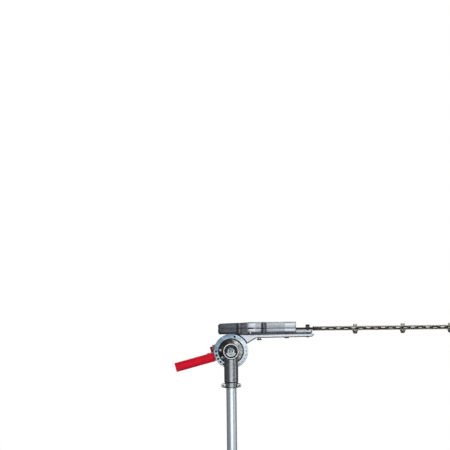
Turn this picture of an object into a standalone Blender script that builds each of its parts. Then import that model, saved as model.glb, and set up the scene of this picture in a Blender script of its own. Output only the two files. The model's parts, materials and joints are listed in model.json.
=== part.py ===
"""Articulating hedge trimmer head on its pole: CAD model.

Metres, +Z up the pole, +X along the cutter bar, Y along the tilt axis. The origin is the centre of
the pole tube's lower end. Lengths are written in millimetres times MM.
"""

from math import asin, cos, degrees, pi, radians, sin

import bmesh
import bpy
from mathutils import Matrix, Vector

MM = 0.001
GAP = 0.3 * MM  # between fixed faces that meet
RUN = 0.05 * MM  # radial running clearance of a shaft in its bush

# Pole and drive shaft
PIVOT_Z = 700 * MM
POLE_R = 12 * MM
POLE_BORE_R = 10.2 * MM
POLE_TOP = -45 * MM  # below the pivot, like every height that follows
SHAFT_R = 4 * MM
SHAFT_STICKS_OUT = 12 * MM
JOURNAL_R = 6 * MM

# Neck
NECK_R = 16.5 * MM
NECK_LOW = -86 * MM
SLIT_LOW = -74.2 * MM
SLIT_HIGH = -72.2 * MM
BOSS_R = 18 * MM
BOSS_FRONT = -26 * MM
BORE_R = 14.05 * MM
FLANGE_R = 28.5 * MM
FLANGE_FRONT = 9 * MM
FLANGE_BACK = 16.7 * MM
SPIGOT_R = 19.5 * MM
SPIGOT_END = 37.8 * MM
CLAMP_BOLT_X = 18.5 * MM
CLAMP_BOLT_Z = -80 * MM
CLAMP_EAR_R = 4.9 * MM

# Index plate
PLATE_R = 40.4 * MM
PLATE_FRONT = 17 * MM
PLATE_BACK = 19.9 * MM
INDEX_R = 35.2 * MM
INDEX_HOLE_R = 2.5 * MM
INDEX_STEP = 15
PLATE_SCREW_R = 25 * MM
PLATE_SCREW_ANGLES = (6, 174, 215, 325)

# Bevel gears, both pairs with shafts at a right angle
BEVEL_TEETH = 12
BEVEL_NEAR = 7.4 * MM  # small end, from the cone's apex
BEVEL_FAR = 12 * MM
BEVEL_HUB_END = 17 * MM
TIP_GAP = 0.4 * MM

# Head: everything that tilts
HEAD_Y = 62 * MM  # centre plane of gearcase and cutter bar
HEAD_FRONT = 20.3 * MM
HOUSING_R = 30.3 * MM
HOUSING_BACK = 88 * MM
CAVITY_R = 27 * MM
CASE_LOW = 39.5 * MM
CASE_SEAM = 52 * MM
CASE_TOP = 67.5 * MM
CASE_STEP = 66 * MM  # top of its rear part
CASE_WIDE_X = 50 * MM  # centre of the wide round part over the crank gear
CASE_R = 42 * MM
CASE_TAIL_X = -6 * MM
CASE_TAIL_R = 24 * MM
CASE_TAPER = 13  # degrees from there to the square end
CASE_WALL = 4 * MM
CASE_END = 153.9 * MM
NOSE_END = 192 * MM
NOSE_TOP = 47.4 * MM
NOSE_HALF = 22 * MM
PLUG_Z = 42.5 * MM
ARM_TOP = 39.1 * MM
ARM_LOW = 31.7 * MM
ARM_ROOT_LOW = 30.1 * MM
ARM_SCREWS_X = (67 * MM, 131.6 * MM)

# Crank train
CRANK_X = 38 * MM
CRANK_TEETH = 40
CRANK_R = 31.5 * MM
PINION_TEETH = 8
PINION_R = 6.1 * MM
GEAR_LOW = 55.6 * MM
GEAR_HIGH = 60 * MM
CRANK_SHAFT_R = 5 * MM
STROKE = 17.5 * MM
ECCENTRIC_R = 10 * MM

# Cutter bar
TOOTH_PITCH = 35 * MM
BLADE_THICK = 2.6 * MM
LOWER_BLADE_Z = 48.35 * MM
UPPER_BLADE_Z = 51.05 * MM
BAR_THICK = 2.25 * MM
BOTTOM_BAR_Z = 46 * MM
TOP_BAR_Z = 53.75 * MM
BAR_START = 193 * MM
BAR_END = 676 * MM
BAR_HALF = 12 * MM
BLADE_HALF = 15 * MM
TOOTH_HALF = 43 * MM
LOWER_FIRST_TOOTH = 200.7 * MM
LOWER_TEETH = 14
UPPER_FIRST_TOOTH = 218.2 * MM
UPPER_TEETH = 13
NOSE_BOLT_X = 181 * MM
GUIDE_BOLTS_X = (293 * MM, 405 * MM, 517 * MM, 629 * MM)
BOLT_R = 3 * MM

# Handle and lock, in the handle's own frame: x out along the handle, y towards the front, z up
HANDLE_ANGLE = 195
HANDLE_Y = 30 * MM
HANDLE_DROP = 2.1 * MM  # its centre line passes this far below the pivot
HANDLE_START = 40.9 * MM
HANDLE_END = 136 * MM
GRIP_R = 10.8 * MM
LEVER_PIVOT_R = 52 * MM
LEVER_Y = 48 * MM
LEVER_THICK = 3.4 * MM
LOCK_PIN_R = 2.3 * MM


def clear_scene():
    for old in list(bpy.data.objects):
        bpy.data.objects.remove(old, do_unlink=True)


def make_material(name, color, roughness, metallic):
    material = bpy.data.materials.new(name)
    material.use_nodes = True
    shader = material.node_tree.nodes["Principled BSDF"]
    shader.inputs["Base Color"].default_value = (*color, 1)
    shader.inputs["Roughness"].default_value = roughness
    shader.inputs["Metallic"].default_value = metallic
    return material


def make_empty(name, parent=None, location=(0, 0, 0)):
    empty = bpy.data.objects.new(name, None)
    bpy.context.collection.objects.link(empty)
    empty.parent = parent
    empty.location = location
    return empty


def make_object(name, mesh_data, material, parent):
    """An object with its faces turned outwards and its round faces shaded smooth."""
    bmesh.ops.recalc_face_normals(mesh_data, faces=mesh_data.faces)
    mesh = bpy.data.meshes.new(name)
    mesh_data.to_mesh(mesh)
    mesh_data.free()
    mesh.shade_smooth()
    mesh.set_sharp_from_angle(angle=radians(30))
    if material:
        mesh.materials.append(material)
    made = bpy.data.objects.new(name, mesh)
    bpy.context.collection.objects.link(made)
    made.parent = parent
    return made


def bore(radius, segments):
    """Corner radius of a polygonal hole whose flats clear a shaft of this radius."""
    return (radius + RUN) / cos(pi / segments)


def snapped(point):
    """Drops the rounding noise of sines and cosines, which Booleans would turn into slivers."""
    return Vector([round(value, 8) for value in point])


def add_turned(mesh_data, profile, axis="Z", segments=20, centre=(0, 0, 0), teeth=0, depth=0):
    """Turns (radius, height) points about an axis.

    A profile that starts and ends on the axis makes a solid, any other one is closed into a ring.
    With teeth, every other segment of the outer points is cut back by depth.
    """
    centre = Vector(centre)
    solid = profile[0][0] == 0 and profile[-1][0] == 0
    place = {
        "X": lambda r, h, a: Vector((h, r * cos(a), r * sin(a))),
        "Y": lambda r, h, a: Vector((r * cos(a), h, r * sin(a))),
        "Z": lambda r, h, a: Vector((r * cos(a), r * sin(a), h)),
    }[axis]
    rings = []
    for point in profile:
        radius, height = point[0], point[1]
        toothed = len(point) > 2
        if radius == 0:
            rings.append([mesh_data.verts.new(snapped(centre + place(0, height, 0)))])
            continue
        ring = []
        for step in range(segments):
            cut = depth if toothed and step * teeth * 2 // segments % 2 else 0
            corner = centre + place(radius - cut, height, 2 * pi * step / segments)
            ring.append(mesh_data.verts.new(snapped(corner)))
        rings.append(ring)
    pairs = list(zip(rings, rings[1:]))
    if not solid:
        pairs.append((rings[-1], rings[0]))
    for low, high in pairs:
        for step in range(segments):
            after = (step + 1) % segments
            corners = [low[step % len(low)], low[after % len(low)], high[after % len(high)], high[step % len(high)]]
            mesh_data.faces.new(list(dict.fromkeys(corners)))
    return mesh_data


def turned(name, profile, material=None, parent=None, **options):
    return make_object(name, add_turned(bmesh.new(), profile, **options), material, parent)


def rod(radius, start, end):
    """Profile of a plain solid rod."""
    return [(0, start), (radius, start), (radius, end), (0, end)]


def sleeve(inner, outer, start, end):
    """Profile of a plain ring."""
    return [(inner, start), (outer, start), (outer, end), (inner, end)]


def add_lofted(mesh_data, sections):
    """Joins closed outlines with the same number of 3-D points, and caps both ends."""
    rings = [[mesh_data.verts.new(snapped(point)) for point in section] for section in sections]
    count = len(rings[0])
    for low, high in zip(rings, rings[1:]):
        for step in range(count):
            after = (step + 1) % count
            mesh_data.faces.new((low[step], low[after], high[after], high[step]))
    mesh_data.faces.new(rings[0])
    mesh_data.faces.new(rings[-1])
    return mesh_data


def prism(name, outline, low, high, material=None, parent=None, axis="Z"):
    """Extrudes a flat outline along an axis."""
    place = {
        "X": lambda u, v, h: (h, u, v),
        "Y": lambda u, v, h: (u, h, v),
        "Z": lambda u, v, h: (u, v, h),
    }[axis]
    sections = [[place(u, v, height) for u, v in outline] for height in (low, high)]
    return make_object(name, add_lofted(bmesh.new(), sections), material, parent)


def box(name, low, high, material=None, parent=None):
    corners = [(low[0], low[1]), (high[0], low[1]), (high[0], high[1]), (low[0], high[1])]
    return prism(name, corners, low[2], high[2], material, parent)


def arc(centre, radius, start, end, steps):
    """Points along an arc, in degrees."""
    angles = [radians(start + (end - start) * step / steps) for step in range(steps + 1)]
    return [(centre[0] + radius * cos(angle), centre[1] + radius * sin(angle)) for angle in angles]


def slot_outline(centre, half_length, radius, steps=6):
    """Round-ended slot along x."""
    right = (centre[0] + half_length - radius, centre[1])
    left = (centre[0] - half_length + radius, centre[1])
    return arc(right, radius, -90, 90, steps) + arc(left, radius, 90, 270, steps)


def combine(target, tools, operation):
    """Adds or cuts each tool with a Boolean modifier; the tools stay as hidden guides."""
    for tool in tools:
        tool.hide_render = True
        tool.display_type = "WIRE"
        modifier = target.modifiers.new(tool.name, "BOOLEAN")
        modifier.operation = operation
        modifier.solver = "EXACT"
        modifier.object = tool
    return target


def add_to(target, *tools):
    return combine(target, tools, "UNION")


def cut_from(target, *tools):
    return combine(target, tools, "DIFFERENCE")


def bevel_profile(apex, facing):
    """Bevel gear whose teeth point to the apex; facing is +1 where the gear lies above it."""
    near = apex + facing * BEVEL_NEAR
    far = apex + facing * BEVEL_FAR
    end = apex + facing * BEVEL_HUB_END
    hub = 9 * MM
    inner = bore(JOURNAL_R, BEVEL_TEETH * 2)
    near_r = BEVEL_NEAR - TIP_GAP
    far_r = BEVEL_FAR - TIP_GAP
    return [(inner, near), (near_r, near, "tooth"), (far_r, far, "tooth"), (hub, far), (hub, end), (inner, end)]


def bevel_gear(name, apex, facing, axis, material, parent):
    return turned(
        name, bevel_profile(apex, facing), material, parent,
        axis=axis, segments=BEVEL_TEETH * 2, teeth=BEVEL_TEETH, depth=0.8 * MM,
    )


def make_pole(root, steel, aluminium, plastic):
    """Pole tube, the drive shaft's bushes and the shaft itself."""
    tube_top = PIVOT_Z + POLE_TOP
    turned("pole_tube", sleeve(POLE_BORE_R, POLE_R, 0, tube_top), aluminium, root, segments=28)
    bush = (bore(SHAFT_R, 16), POLE_BORE_R - GAP)
    for name, low in (("shaft_bush_lower", 10 * MM), ("shaft_bush_upper", PIVOT_Z - 110 * MM)):
        turned(name, sleeve(*bush, low, low + 15 * MM), plastic, root, segments=16)

    spin = make_empty("drive_axis", root)
    shaft_low = -SHAFT_STICKS_OUT
    spline_end = 4 * MM
    journal_start = PIVOT_Z - 42 * MM
    profile = [
        (0, shaft_low),
        (SHAFT_R - 0.3 * MM, shaft_low, "spline"),
        (SHAFT_R, shaft_low + 0.6 * MM, "spline"),
        (SHAFT_R, spline_end, "spline"),
        (SHAFT_R, spline_end + 1 * MM),
        (SHAFT_R, journal_start),
        (JOURNAL_R, journal_start + 2 * MM),
        (JOURNAL_R, PIVOT_Z - BEVEL_NEAR - GAP),
        (0, PIVOT_Z - BEVEL_NEAR - GAP),
    ]
    turned("drive_shaft", profile, steel, spin, segments=24, teeth=6, depth=0.6 * MM)
    bevel_gear("drive_bevel", PIVOT_Z, -1, "Z", steel, spin)


def clamp_ears(name, near, far, pivot):
    """Web across the tube with a round ear around each clamp bolt."""
    web_half = (CLAMP_BOLT_X, 3.6 * MM)
    low = (-web_half[0], near, CLAMP_BOLT_Z - web_half[1])
    ears = [box(f"{name}_web", low, (web_half[0], far, CLAMP_BOLT_Z + web_half[1]), parent=pivot)]
    for side in (-1, 1):
        centre = (side * CLAMP_BOLT_X, 0, CLAMP_BOLT_Z)
        ears.append(turned(
            f"{name}_{side}", rod(CLAMP_EAR_R, near, far), parent=pivot, axis="Y", segments=16, centre=centre,
        ))
    return ears


def make_neck(pivot, cast):
    """Right-angle housing: tube socket below, round boss in front, flange and spigot behind."""
    neck_profile = [(0, NECK_LOW), (NECK_R, NECK_LOW), (NECK_R, -34 * MM), (16 * MM, -33 * MM), (16 * MM, 0), (0, 0)]
    neck = turned("neck_housing", neck_profile, cast, pivot, segments=28)
    boss_profile = [
        (0, BOSS_FRONT),
        (BOSS_R, BOSS_FRONT),
        (BOSS_R, -2 * MM),
        (21.5 * MM, FLANGE_FRONT),
        (FLANGE_R, FLANGE_FRONT),
        (FLANGE_R, FLANGE_BACK),
        (SPIGOT_R, FLANGE_BACK),
        (SPIGOT_R, SPIGOT_END),
        (0, SPIGOT_END),
    ]
    boss = turned("neck_boss", boss_profile, parent=pivot, axis="Y", segments=32)
    ears = clamp_ears("neck_ears", 0.6 * MM, 9 * MM, pivot)
    cross_bore = turned("neck_cross_bore", rod(BORE_R, -30 * MM, 40 * MM), parent=pivot, axis="Y", segments=28)
    socket = turned("neck_socket", rod(POLE_R + GAP, -90 * MM, -2 * MM), parent=pivot, segments=28)
    slit = box("neck_slit", (-30 * MM, -30 * MM, -90 * MM), (30 * MM, 0, SLIT_HIGH), parent=pivot)
    slit_back = box("neck_slit_back", (-30 * MM, -1 * MM, SLIT_LOW), (30 * MM, 5 * MM, SLIT_HIGH), parent=pivot)
    add_to(neck, boss, *ears)
    cut_from(neck, cross_bore, socket, slit, slit_back)
    for side in (-1, 1):
        hole = turned(
            f"neck_clamp_hole_{side}", rod(2.8 * MM, -2 * MM, 12 * MM), parent=pivot,
            axis="Y", segments=10, centre=(side * CLAMP_BOLT_X, 0, CLAMP_BOLT_Z),
        )
        cut_from(neck, hole)
    for angle in PLATE_SCREW_ANGLES:
        cut_from(neck, plate_screw_hole("neck_plate_hole", angle, pivot))


def plate_screw_place(angle):
    return (PLATE_SCREW_R * cos(radians(angle)), 0, PLATE_SCREW_R * sin(radians(angle)))


def plate_screw_hole(name, angle, pivot):
    centre = plate_screw_place(angle)
    return turned(f"{name}_{angle}", rod(2 * MM, 5 * MM, 24 * MM), parent=pivot, axis="Y", segments=8, centre=centre)


def make_clamp(pivot, cast, zinc):
    """Front half of the tube clamp and its two bolts, the left one with a broad flanged head."""
    cap = turned("clamp_cap", rod(NECK_R, NECK_LOW, SLIT_LOW), cast, pivot, segments=28)
    ears = clamp_ears("cap_ears", -10 * MM, -1 * MM, pivot)
    back = box("cap_back", (-30 * MM, -0.6 * MM, -90 * MM), (30 * MM, 30 * MM, -70 * MM), parent=pivot)
    socket = turned("cap_socket", rod(POLE_R + GAP, -90 * MM, -70 * MM), parent=pivot, segments=28)
    add_to(cap, *ears)
    cut_from(cap, back, socket)
    for side, name, head_r in ((-1, "clamp_bolt_left", 5.3 * MM), (1, "clamp_bolt_right", 3.8 * MM)):
        centre = (side * CLAMP_BOLT_X, 0, CLAMP_BOLT_Z)
        hole = turned(
            f"cap_hole_{side}", rod(2.8 * MM, -12 * MM, 0), parent=pivot, axis="Y", segments=10, centre=centre,
        )
        cut_from(cap, hole)
        seat = -10 * MM - GAP
        profile = [
            (0, seat - 5 * MM),
            (3.6 * MM, seat - 5 * MM),
            (3.8 * MM, seat - 1.6 * MM),
            (head_r, seat - 1.4 * MM),
            (head_r, seat),
            (2.5 * MM, seat),
            (2.5 * MM, 8 * MM),
            (0, 8 * MM),
        ]
        turned(name, profile, zinc, pivot, axis="Y", segments=12, centre=centre)


def make_index_plate(pivot, zinc):
    """Notched plate fixed behind the neck's flange; the lock pin drops into its holes."""
    plate = turned(
        "index_plate", sleeve(SPIGOT_R + GAP, PLATE_R, PLATE_FRONT, PLATE_BACK), zinc, pivot, axis="Y", segments=60,
    )
    holes = bmesh.new()
    angles = [75] + list(range(180, 376, INDEX_STEP))
    for angle in angles:
        centre = (INDEX_R * cos(radians(angle)), 0, INDEX_R * sin(radians(angle)))
        add_turned(holes, rod(INDEX_HOLE_R, 12 * MM, 24 * MM), "Y", 8, centre)
    cut_from(plate, make_object("index_holes", holes, None, pivot))
    for number, angle in enumerate(PLATE_SCREW_ANGLES, 1):
        cut_from(plate, plate_screw_hole("index_screw_hole", angle, pivot))
        seat = FLANGE_FRONT - GAP
        profile = [
            (0, seat - 2.6 * MM),
            (2.2 * MM, seat - 2.6 * MM),
            (3 * MM, seat - 1.2 * MM),
            (3 * MM, seat),
            (1.7 * MM, seat),
            (1.7 * MM, PLATE_BACK - 0.5 * MM),
            (0, PLATE_BACK - 0.5 * MM),
        ]
        centre = plate_screw_place(angle)
        turned(f"plate_screw_{number}", profile, zinc, pivot, axis="Y", segments=10, centre=centre)


def bearing(name, inner, outer, start, end, axis, material, parent, segments=28, centre=(0, 0, 0)):
    """Sealed ball bearing as one ring, with its shield set back on the first face."""
    ring = 2 * MM
    recess = 0.6 * MM
    inside = bore(inner, segments)
    profile = [
        (inside, start),
        (inside + ring, start),
        (inside + ring, start + recess),
        (outer - ring, start + recess),
        (outer - ring, start),
        (outer, start),
        (outer, end),
        (inside, end),
    ]
    return turned(name, profile, material, parent, axis=axis, segments=segments, centre=centre)


def make_cross_shaft(pivot, steel):
    """Shaft on the tilt axis, with its bearings, circlip, pivot nut and two bevel gears."""
    outer = BORE_R - GAP
    bearing("front_bearing", JOURNAL_R, outer, -20.5 * MM, -12.5 * MM, "Y", steel, pivot)
    bearing("rear_bearing", JOURNAL_R, outer, 27 * MM, 35 * MM, "Y", steel, pivot)
    bearing("drive_bearing", JOURNAL_R, POLE_R, -30 * MM, -24 * MM, "Z", steel, pivot)
    clip = arc((0, 0), outer, 110, 430, 32) + arc((0, 0), outer - 2.4 * MM, 430, 110, 32)
    prism("front_circlip", clip, -22 * MM, -20.8 * MM, steel, pivot, axis="Y")
    turned("pivot_nut", sleeve(9 * MM, 24 * MM, SPIGOT_END + GAP, 41.5 * MM), steel, pivot, axis="Y", segments=28)

    spin = make_empty("cross_axis", pivot)
    front_end = -21.6 * MM
    back_apex = HEAD_Y
    back_end = back_apex - BEVEL_NEAR - GAP
    profile = [
        (0, front_end + 10 * MM),
        (2.8 * MM, front_end + 10 * MM),
        (2.8 * MM, front_end),
        (JOURNAL_R, front_end),
        (JOURNAL_R, back_end),
        (0, back_end),
    ]
    turned("cross_shaft", profile, steel, spin, axis="Y", segments=16)
    bolt_profile = [
        (0, front_end - 4.4 * MM),
        (4 * MM, front_end - 4.4 * MM),
        (4.25 * MM, front_end - 4 * MM),
        (4.25 * MM, front_end - 1.5 * MM - GAP),
        (7.5 * MM, front_end - 1.5 * MM - GAP),
        (7.5 * MM, front_end - GAP),
        (2.5 * MM, front_end - GAP),
        (2.5 * MM, front_end + 9 * MM),
        (0, front_end + 9 * MM),
    ]
    turned("shaft_end_bolt", bolt_profile, steel, spin, axis="Y", segments=16)
    bevel_gear("cross_bevel_front", 0, 1, "Y", steel, spin)
    bevel_gear("cross_bevel_rear", back_apex, -1, "Y", steel, spin)


def handle_matrix():
    """Places the handle's own frame: x out along the handle, y towards the front, z up."""
    return Matrix.Rotation(radians(180 - HANDLE_ANGLE), 4, "Y") @ Matrix.Rotation(pi, 4, "Z")


def make_bracket(head, handle, cast):
    """Casting that turns on the neck's spigot and carries gearcase, handle and lock."""
    shell_profile = [
        (0, HEAD_FRONT),
        (37.5 * MM, HEAD_FRONT),
        (37.5 * MM, 25 * MM),
        (HOUSING_R, 28 * MM),
        (HOUSING_R, HOUSING_BACK),
        (0, HOUSING_BACK),
    ]
    bracket = turned("head_bracket", shell_profile, cast, head, axis="Y", segments=32)
    arm_side = [
        (-10 * MM, ARM_TOP),
        (NOSE_END - 1 * MM, ARM_TOP),
        (NOSE_END + 3.6 * MM, 37.8 * MM),
        (NOSE_END + 4 * MM, 36.2 * MM),
        (NOSE_END - 1 * MM, ARM_LOW),
        (64 * MM, ARM_ROOT_LOW),
        (58 * MM, 28.8 * MM),
        (34 * MM, 14.8 * MM),
        (0, 5 * MM),
        (-22 * MM, 10 * MM),
        (-22 * MM, 31 * MM),
    ]
    arm = prism("bracket_arm", arm_side, HEAD_Y - NOSE_HALF, HEAD_Y + NOSE_HALF, parent=head, axis="Y")
    lug_front = -HEAD_FRONT - 0.4 * MM
    stop_front = -HEAD_FRONT - 0.8 * MM
    lug = box("bracket_lug", (26 * MM, -43.6 * MM, -12.5 * MM), (40.4 * MM, lug_front, 12 * MM), parent=handle)
    stop = box("bracket_stop", (28.5 * MM, -32 * MM, 11.3 * MM), (39.1 * MM, stop_front, 25.5 * MM), parent=handle)
    spigot = turned(
        "bracket_spigot", rod(7 * MM, 38 * MM, 60 * MM), parent=handle,
        axis="X", segments=16, centre=(0, -HANDLE_Y, -HANDLE_DROP),
    )
    ear_shape = [(28 * MM, -41.7 * MM), (50 * MM, -41.7 * MM)]
    ear_shape += arc((LEVER_PIVOT_R, -LEVER_Y), 4.8 * MM, 60, -180, 8)
    ear_shape += [(46.4 * MM, -45.6 * MM), (28 * MM, -45.6 * MM)]
    ears = []
    for side, low in (("low", -10.2 * MM), ("high", 7 * MM)):
        ears.append(prism(f"bracket_ear_{side}", ear_shape, low, low + 3.2 * MM, parent=handle))
    add_to(bracket, arm, lug, stop, spigot, *ears)

    bearing_bore = turned("bracket_bore", rod(SPIGOT_R + GAP, 15 * MM, 40 * MM), parent=head, axis="Y", segments=32)
    cavity = turned("bracket_cavity", rod(CAVITY_R, SPIGOT_END, 95 * MM), parent=head, axis="Y", segments=32)
    tower = turned(
        "bracket_tower_bore", rod(13.3 * MM, 10 * MM, 45 * MM), parent=head, segments=20, centre=(0, HEAD_Y, 0),
    )
    pin_hole = turned(
        "bracket_pin_hole", rod(LOCK_PIN_R + GAP, -60 * MM, -10 * MM), parent=handle,
        axis="Y", segments=10, centre=(INDEX_R, 0, 0),
    )
    lever_hole = turned(
        "bracket_lever_hole", rod(2.3 * MM, -15 * MM, 15 * MM), parent=handle,
        segments=10, centre=(LEVER_PIVOT_R, -LEVER_Y, 0),
    )
    cut_from(bracket, pin_hole, lever_hole, tower, cavity, bearing_bore)
    for number, x in enumerate((*ARM_SCREWS_X, NOSE_BOLT_X), 1):
        hole = turned(
            f"bracket_screw_hole_{number}", rod(3.3 * MM, 20 * MM, 45 * MM), parent=head,
            segments=10, centre=(x, HEAD_Y, 0),
        )
        cut_from(bracket, hole)


def make_rear_cap(head, cast):
    """Pressed cap that closes the housing's open back."""
    back = HOUSING_BACK + GAP
    profile = [
        (0, back - 5 * MM),
        (CAVITY_R - GAP, back - 5 * MM),
        (CAVITY_R - GAP, back),
        (HOUSING_R - 1 * MM, back),
        (HOUSING_R - 2.5 * MM, back + 3 * MM),
        (0, back + 3 * MM),
    ]
    turned("bracket_rear_cap", profile, cast, head, axis="Y", segments=32)


def case_outline(inset=0, tail_inset=0, end_inset=0):
    """Gearcase plan: round tail, wide round middle, then tapered to a square end."""
    side = CASE_R - inset
    tail = CASE_TAIL_R - inset - tail_inset
    end_half = 25 * MM - inset
    lean = degrees(asin((side - tail) / (CASE_WIDE_X - CASE_TAIL_X)))
    middle = (CASE_WIDE_X, HEAD_Y)
    return (
        arc(middle, side, 90 - CASE_TAPER, 90 + lean, 6)
        + arc((CASE_TAIL_X, HEAD_Y), tail, 90 + lean, 270 - lean, 12)
        + arc(middle, side, 270 - lean, 270 + CASE_TAPER, 6)
        + [
            (128 * MM, HEAD_Y - end_half),
            (CASE_END - end_inset, HEAD_Y - end_half),
            (CASE_END - end_inset, HEAD_Y + end_half),
            (128 * MM, HEAD_Y + end_half),
        ]
    )


def case_shell(name, levels, material=None, parent=None):
    """Lofts the gearcase plan through (height, inset, tail inset, end inset) levels."""
    sections = [[(x, y, level[0]) for x, y in case_outline(*level[1:])] for level in levels]
    return make_object(name, add_lofted(bmesh.new(), sections), material, parent)


def cover_screw_places():
    """Two screw bosses on each side wall."""
    return [(x, HEAD_Y + side * 37.5 * MM) for x in (20 * MM, 78 * MM) for side in (-1, 1)]


def screw_bosses(name, low, high, parent):
    bosses = bmesh.new()
    for x, y in cover_screw_places():
        add_turned(bosses, rod(6.5 * MM, low, high), centre=(x, y, 0), segments=12)
    return make_object(name, bosses, None, parent)


def make_lower_case(head, cast, brass):
    """Lower gearcase half with the nose that the cutter bar is bolted to."""
    case = case_shell(
        "lower_case",
        [(CASE_LOW, 3.5 * MM, 0, 0), (CASE_LOW + 1.2 * MM, 1 * MM, 0, 0), (CASE_LOW + 4 * MM, 0, 0, 0),
         (CASE_SEAM, 0, 0, 0)],
        cast, head,
    )
    nose_low = (120 * MM, HEAD_Y - NOSE_HALF, CASE_LOW)
    nose = box("case_nose", nose_low, (NOSE_END, HEAD_Y + NOSE_HALF, NOSE_TOP), parent=head)
    bosses = screw_bosses("case_bosses", CASE_LOW + 2 * MM, CASE_SEAM, head)
    cavity = case_shell(
        "case_cavity",
        [(CASE_LOW + 3.5 * MM, CASE_WALL, 0, 24 * MM), (60 * MM, CASE_WALL, 0, 24 * MM)], parent=head,
    )
    cut_from(cavity, screw_bosses("case_posts", 35 * MM, 70 * MM, head))
    channel_low = (120 * MM, HEAD_Y - 17 * MM, NOSE_TOP)
    channel = box("case_channel", channel_low, (160 * MM, HEAD_Y + 17 * MM, 60 * MM), parent=head)
    add_to(case, nose, bosses)
    shaft_hole = turned(
        "case_shaft_hole", rod(8 * MM, 35 * MM, 50 * MM), parent=head, segments=16, centre=(0, HEAD_Y, 0),
    )
    pocket = turned(
        "case_bush_pocket", rod(9.1 * MM, CASE_LOW + 1.2 * MM, 50 * MM), parent=head,
        segments=20, centre=(CRANK_X, HEAD_Y, 0),
    )
    nose_hole = turned(
        "case_nose_hole", rod(BOLT_R + GAP, 30 * MM, 60 * MM), parent=head, segments=10, centre=(NOSE_BOLT_X, HEAD_Y, 0),
    )
    plug_hole = turned(
        "case_plug_hole", rod(2 * MM, 10 * MM, 19.9 * MM + 2.4 * MM), parent=head,
        axis="Y", segments=10, centre=(46 * MM, 0, PLUG_Z),
    )
    cut_from(case, cavity, channel, shaft_hole, pocket, nose_hole, plug_hole)
    holes = bmesh.new()
    for x, y in cover_screw_places():
        add_turned(holes, rod(2.3 * MM, 44 * MM, 60 * MM), centre=(x, y, 0), segments=8)
    for x, top in zip(ARM_SCREWS_X, (42.4 * MM, 46 * MM)):
        add_turned(holes, rod(2.8 * MM, 30 * MM, top), centre=(x, HEAD_Y, 0), segments=8)
    cut_from(case, make_object("case_screw_holes", holes, None, head))

    plug_profile = [
        (0, 17.9 * MM),
        (1.6 * MM, 17.9 * MM),
        (2.8 * MM, 18.7 * MM),
        (2.8 * MM, 19.7 * MM),
        (1.7 * MM, 19.7 * MM),
        (1.7 * MM, 21.9 * MM),
        (0, 21.9 * MM),
    ]
    turned("grease_plug", plug_profile, brass, head, axis="Y", segments=10, centre=(46 * MM, 0, PLUG_Z))


def make_upper_cover(head, cast, black):
    """Upper gearcase cover with its screws, side slot and the cutter bar's mouth."""
    low = CASE_SEAM + GAP
    cover = case_shell(
        "upper_cover",
        [(low, 0, 0, 0), (60.8 * MM, 0, 0, 0), (65.2 * MM, 0.8 * MM, 5 * MM, 0.4 * MM),
         (CASE_TOP, 2.4 * MM, 6 * MM, 3 * MM)],
        cast, head,
    )
    bosses = screw_bosses("cover_bosses", low, CASE_STEP, head)
    cavity = case_shell(
        "cover_cavity", [(40 * MM, CASE_WALL, 0, 24 * MM), (62.4 * MM, CASE_WALL, 3 * MM, 24 * MM)], parent=head,
    )
    cut_from(cavity, screw_bosses("cover_posts", 35 * MM, 70 * MM, head))
    mouth_low = (120 * MM, HEAD_Y - 17 * MM, 50 * MM)
    mouth = box("cover_mouth", mouth_low, (160 * MM, HEAD_Y + 17 * MM, 54.3 * MM), parent=head)
    step = box("cover_step", (-40 * MM, 0, CASE_STEP), (24 * MM, 120 * MM, 70 * MM), parent=head)
    slot = box("cover_slot", (40 * MM, 10 * MM, 52.8 * MM), (52 * MM, 26 * MM, 55.3 * MM), parent=head)
    bush_pocket = turned(
        "cover_bush_pocket", rod(9.1 * MM, 55 * MM, 64.6 * MM), parent=head, segments=20, centre=(CRANK_X, HEAD_Y, 0),
    )
    pinion_pocket = turned(
        "cover_pinion_pocket", rod(7.1 * MM, 55 * MM, 64.6 * MM), parent=head, segments=16, centre=(0, HEAD_Y, 0),
    )
    add_to(cover, bosses)
    cut_from(cover, cavity, mouth, step, slot, bush_pocket, pinion_pocket)
    hole_profile = [
        (0, 45 * MM),
        (2.3 * MM, 45 * MM),
        (2.3 * MM, 61 * MM),
        (4.4 * MM, 61 * MM),
        (4.4 * MM, 70 * MM),
        (0, 70 * MM),
    ]
    screw_profile = [
        (0, 44.5 * MM),
        (2 * MM, 44.5 * MM),
        (2 * MM, 61.3 * MM),
        (4 * MM, 61.3 * MM),
        (4 * MM, 64.4 * MM),
        (3.6 * MM, 64.8 * MM),
        (0, 64.8 * MM),
    ]
    holes = bmesh.new()
    for number, (x, y) in enumerate(cover_screw_places(), 1):
        add_turned(holes, hole_profile, centre=(x, y, 0), segments=12)
        turned(f"cover_screw_{number}", screw_profile, black, head, segments=12, centre=(x, y, 0))
    cut_from(cover, make_object("cover_screw_holes", holes, None, head))


def make_arm_screws(head, black):
    """Screws that hold the bracket's arm under the gearcase; the rear one sits on a spacer."""
    rear = [
        (0, 24.8 * MM),
        (6 * MM, 24.8 * MM),
        (6 * MM, 27.4 * MM),
        (4 * MM, 27.4 * MM),
        (4 * MM, 29.5 * MM),
        (2.5 * MM, 29.5 * MM),
        (2.5 * MM, 42.1 * MM),
        (0, 42.1 * MM),
    ]
    front = [
        (0, 28.8 * MM),
        (5 * MM, 28.8 * MM),
        (6 * MM, 30.5 * MM),
        (2.5 * MM, 30.5 * MM),
        (2.5 * MM, 45.6 * MM),
        (0, 45.6 * MM),
    ]
    for name, profile, x in zip(("arm_screw_rear", "arm_screw_front"), (rear, front), ARM_SCREWS_X):
        turned(name, profile, black, head, segments=12, centre=(x, HEAD_Y, 0))


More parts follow.
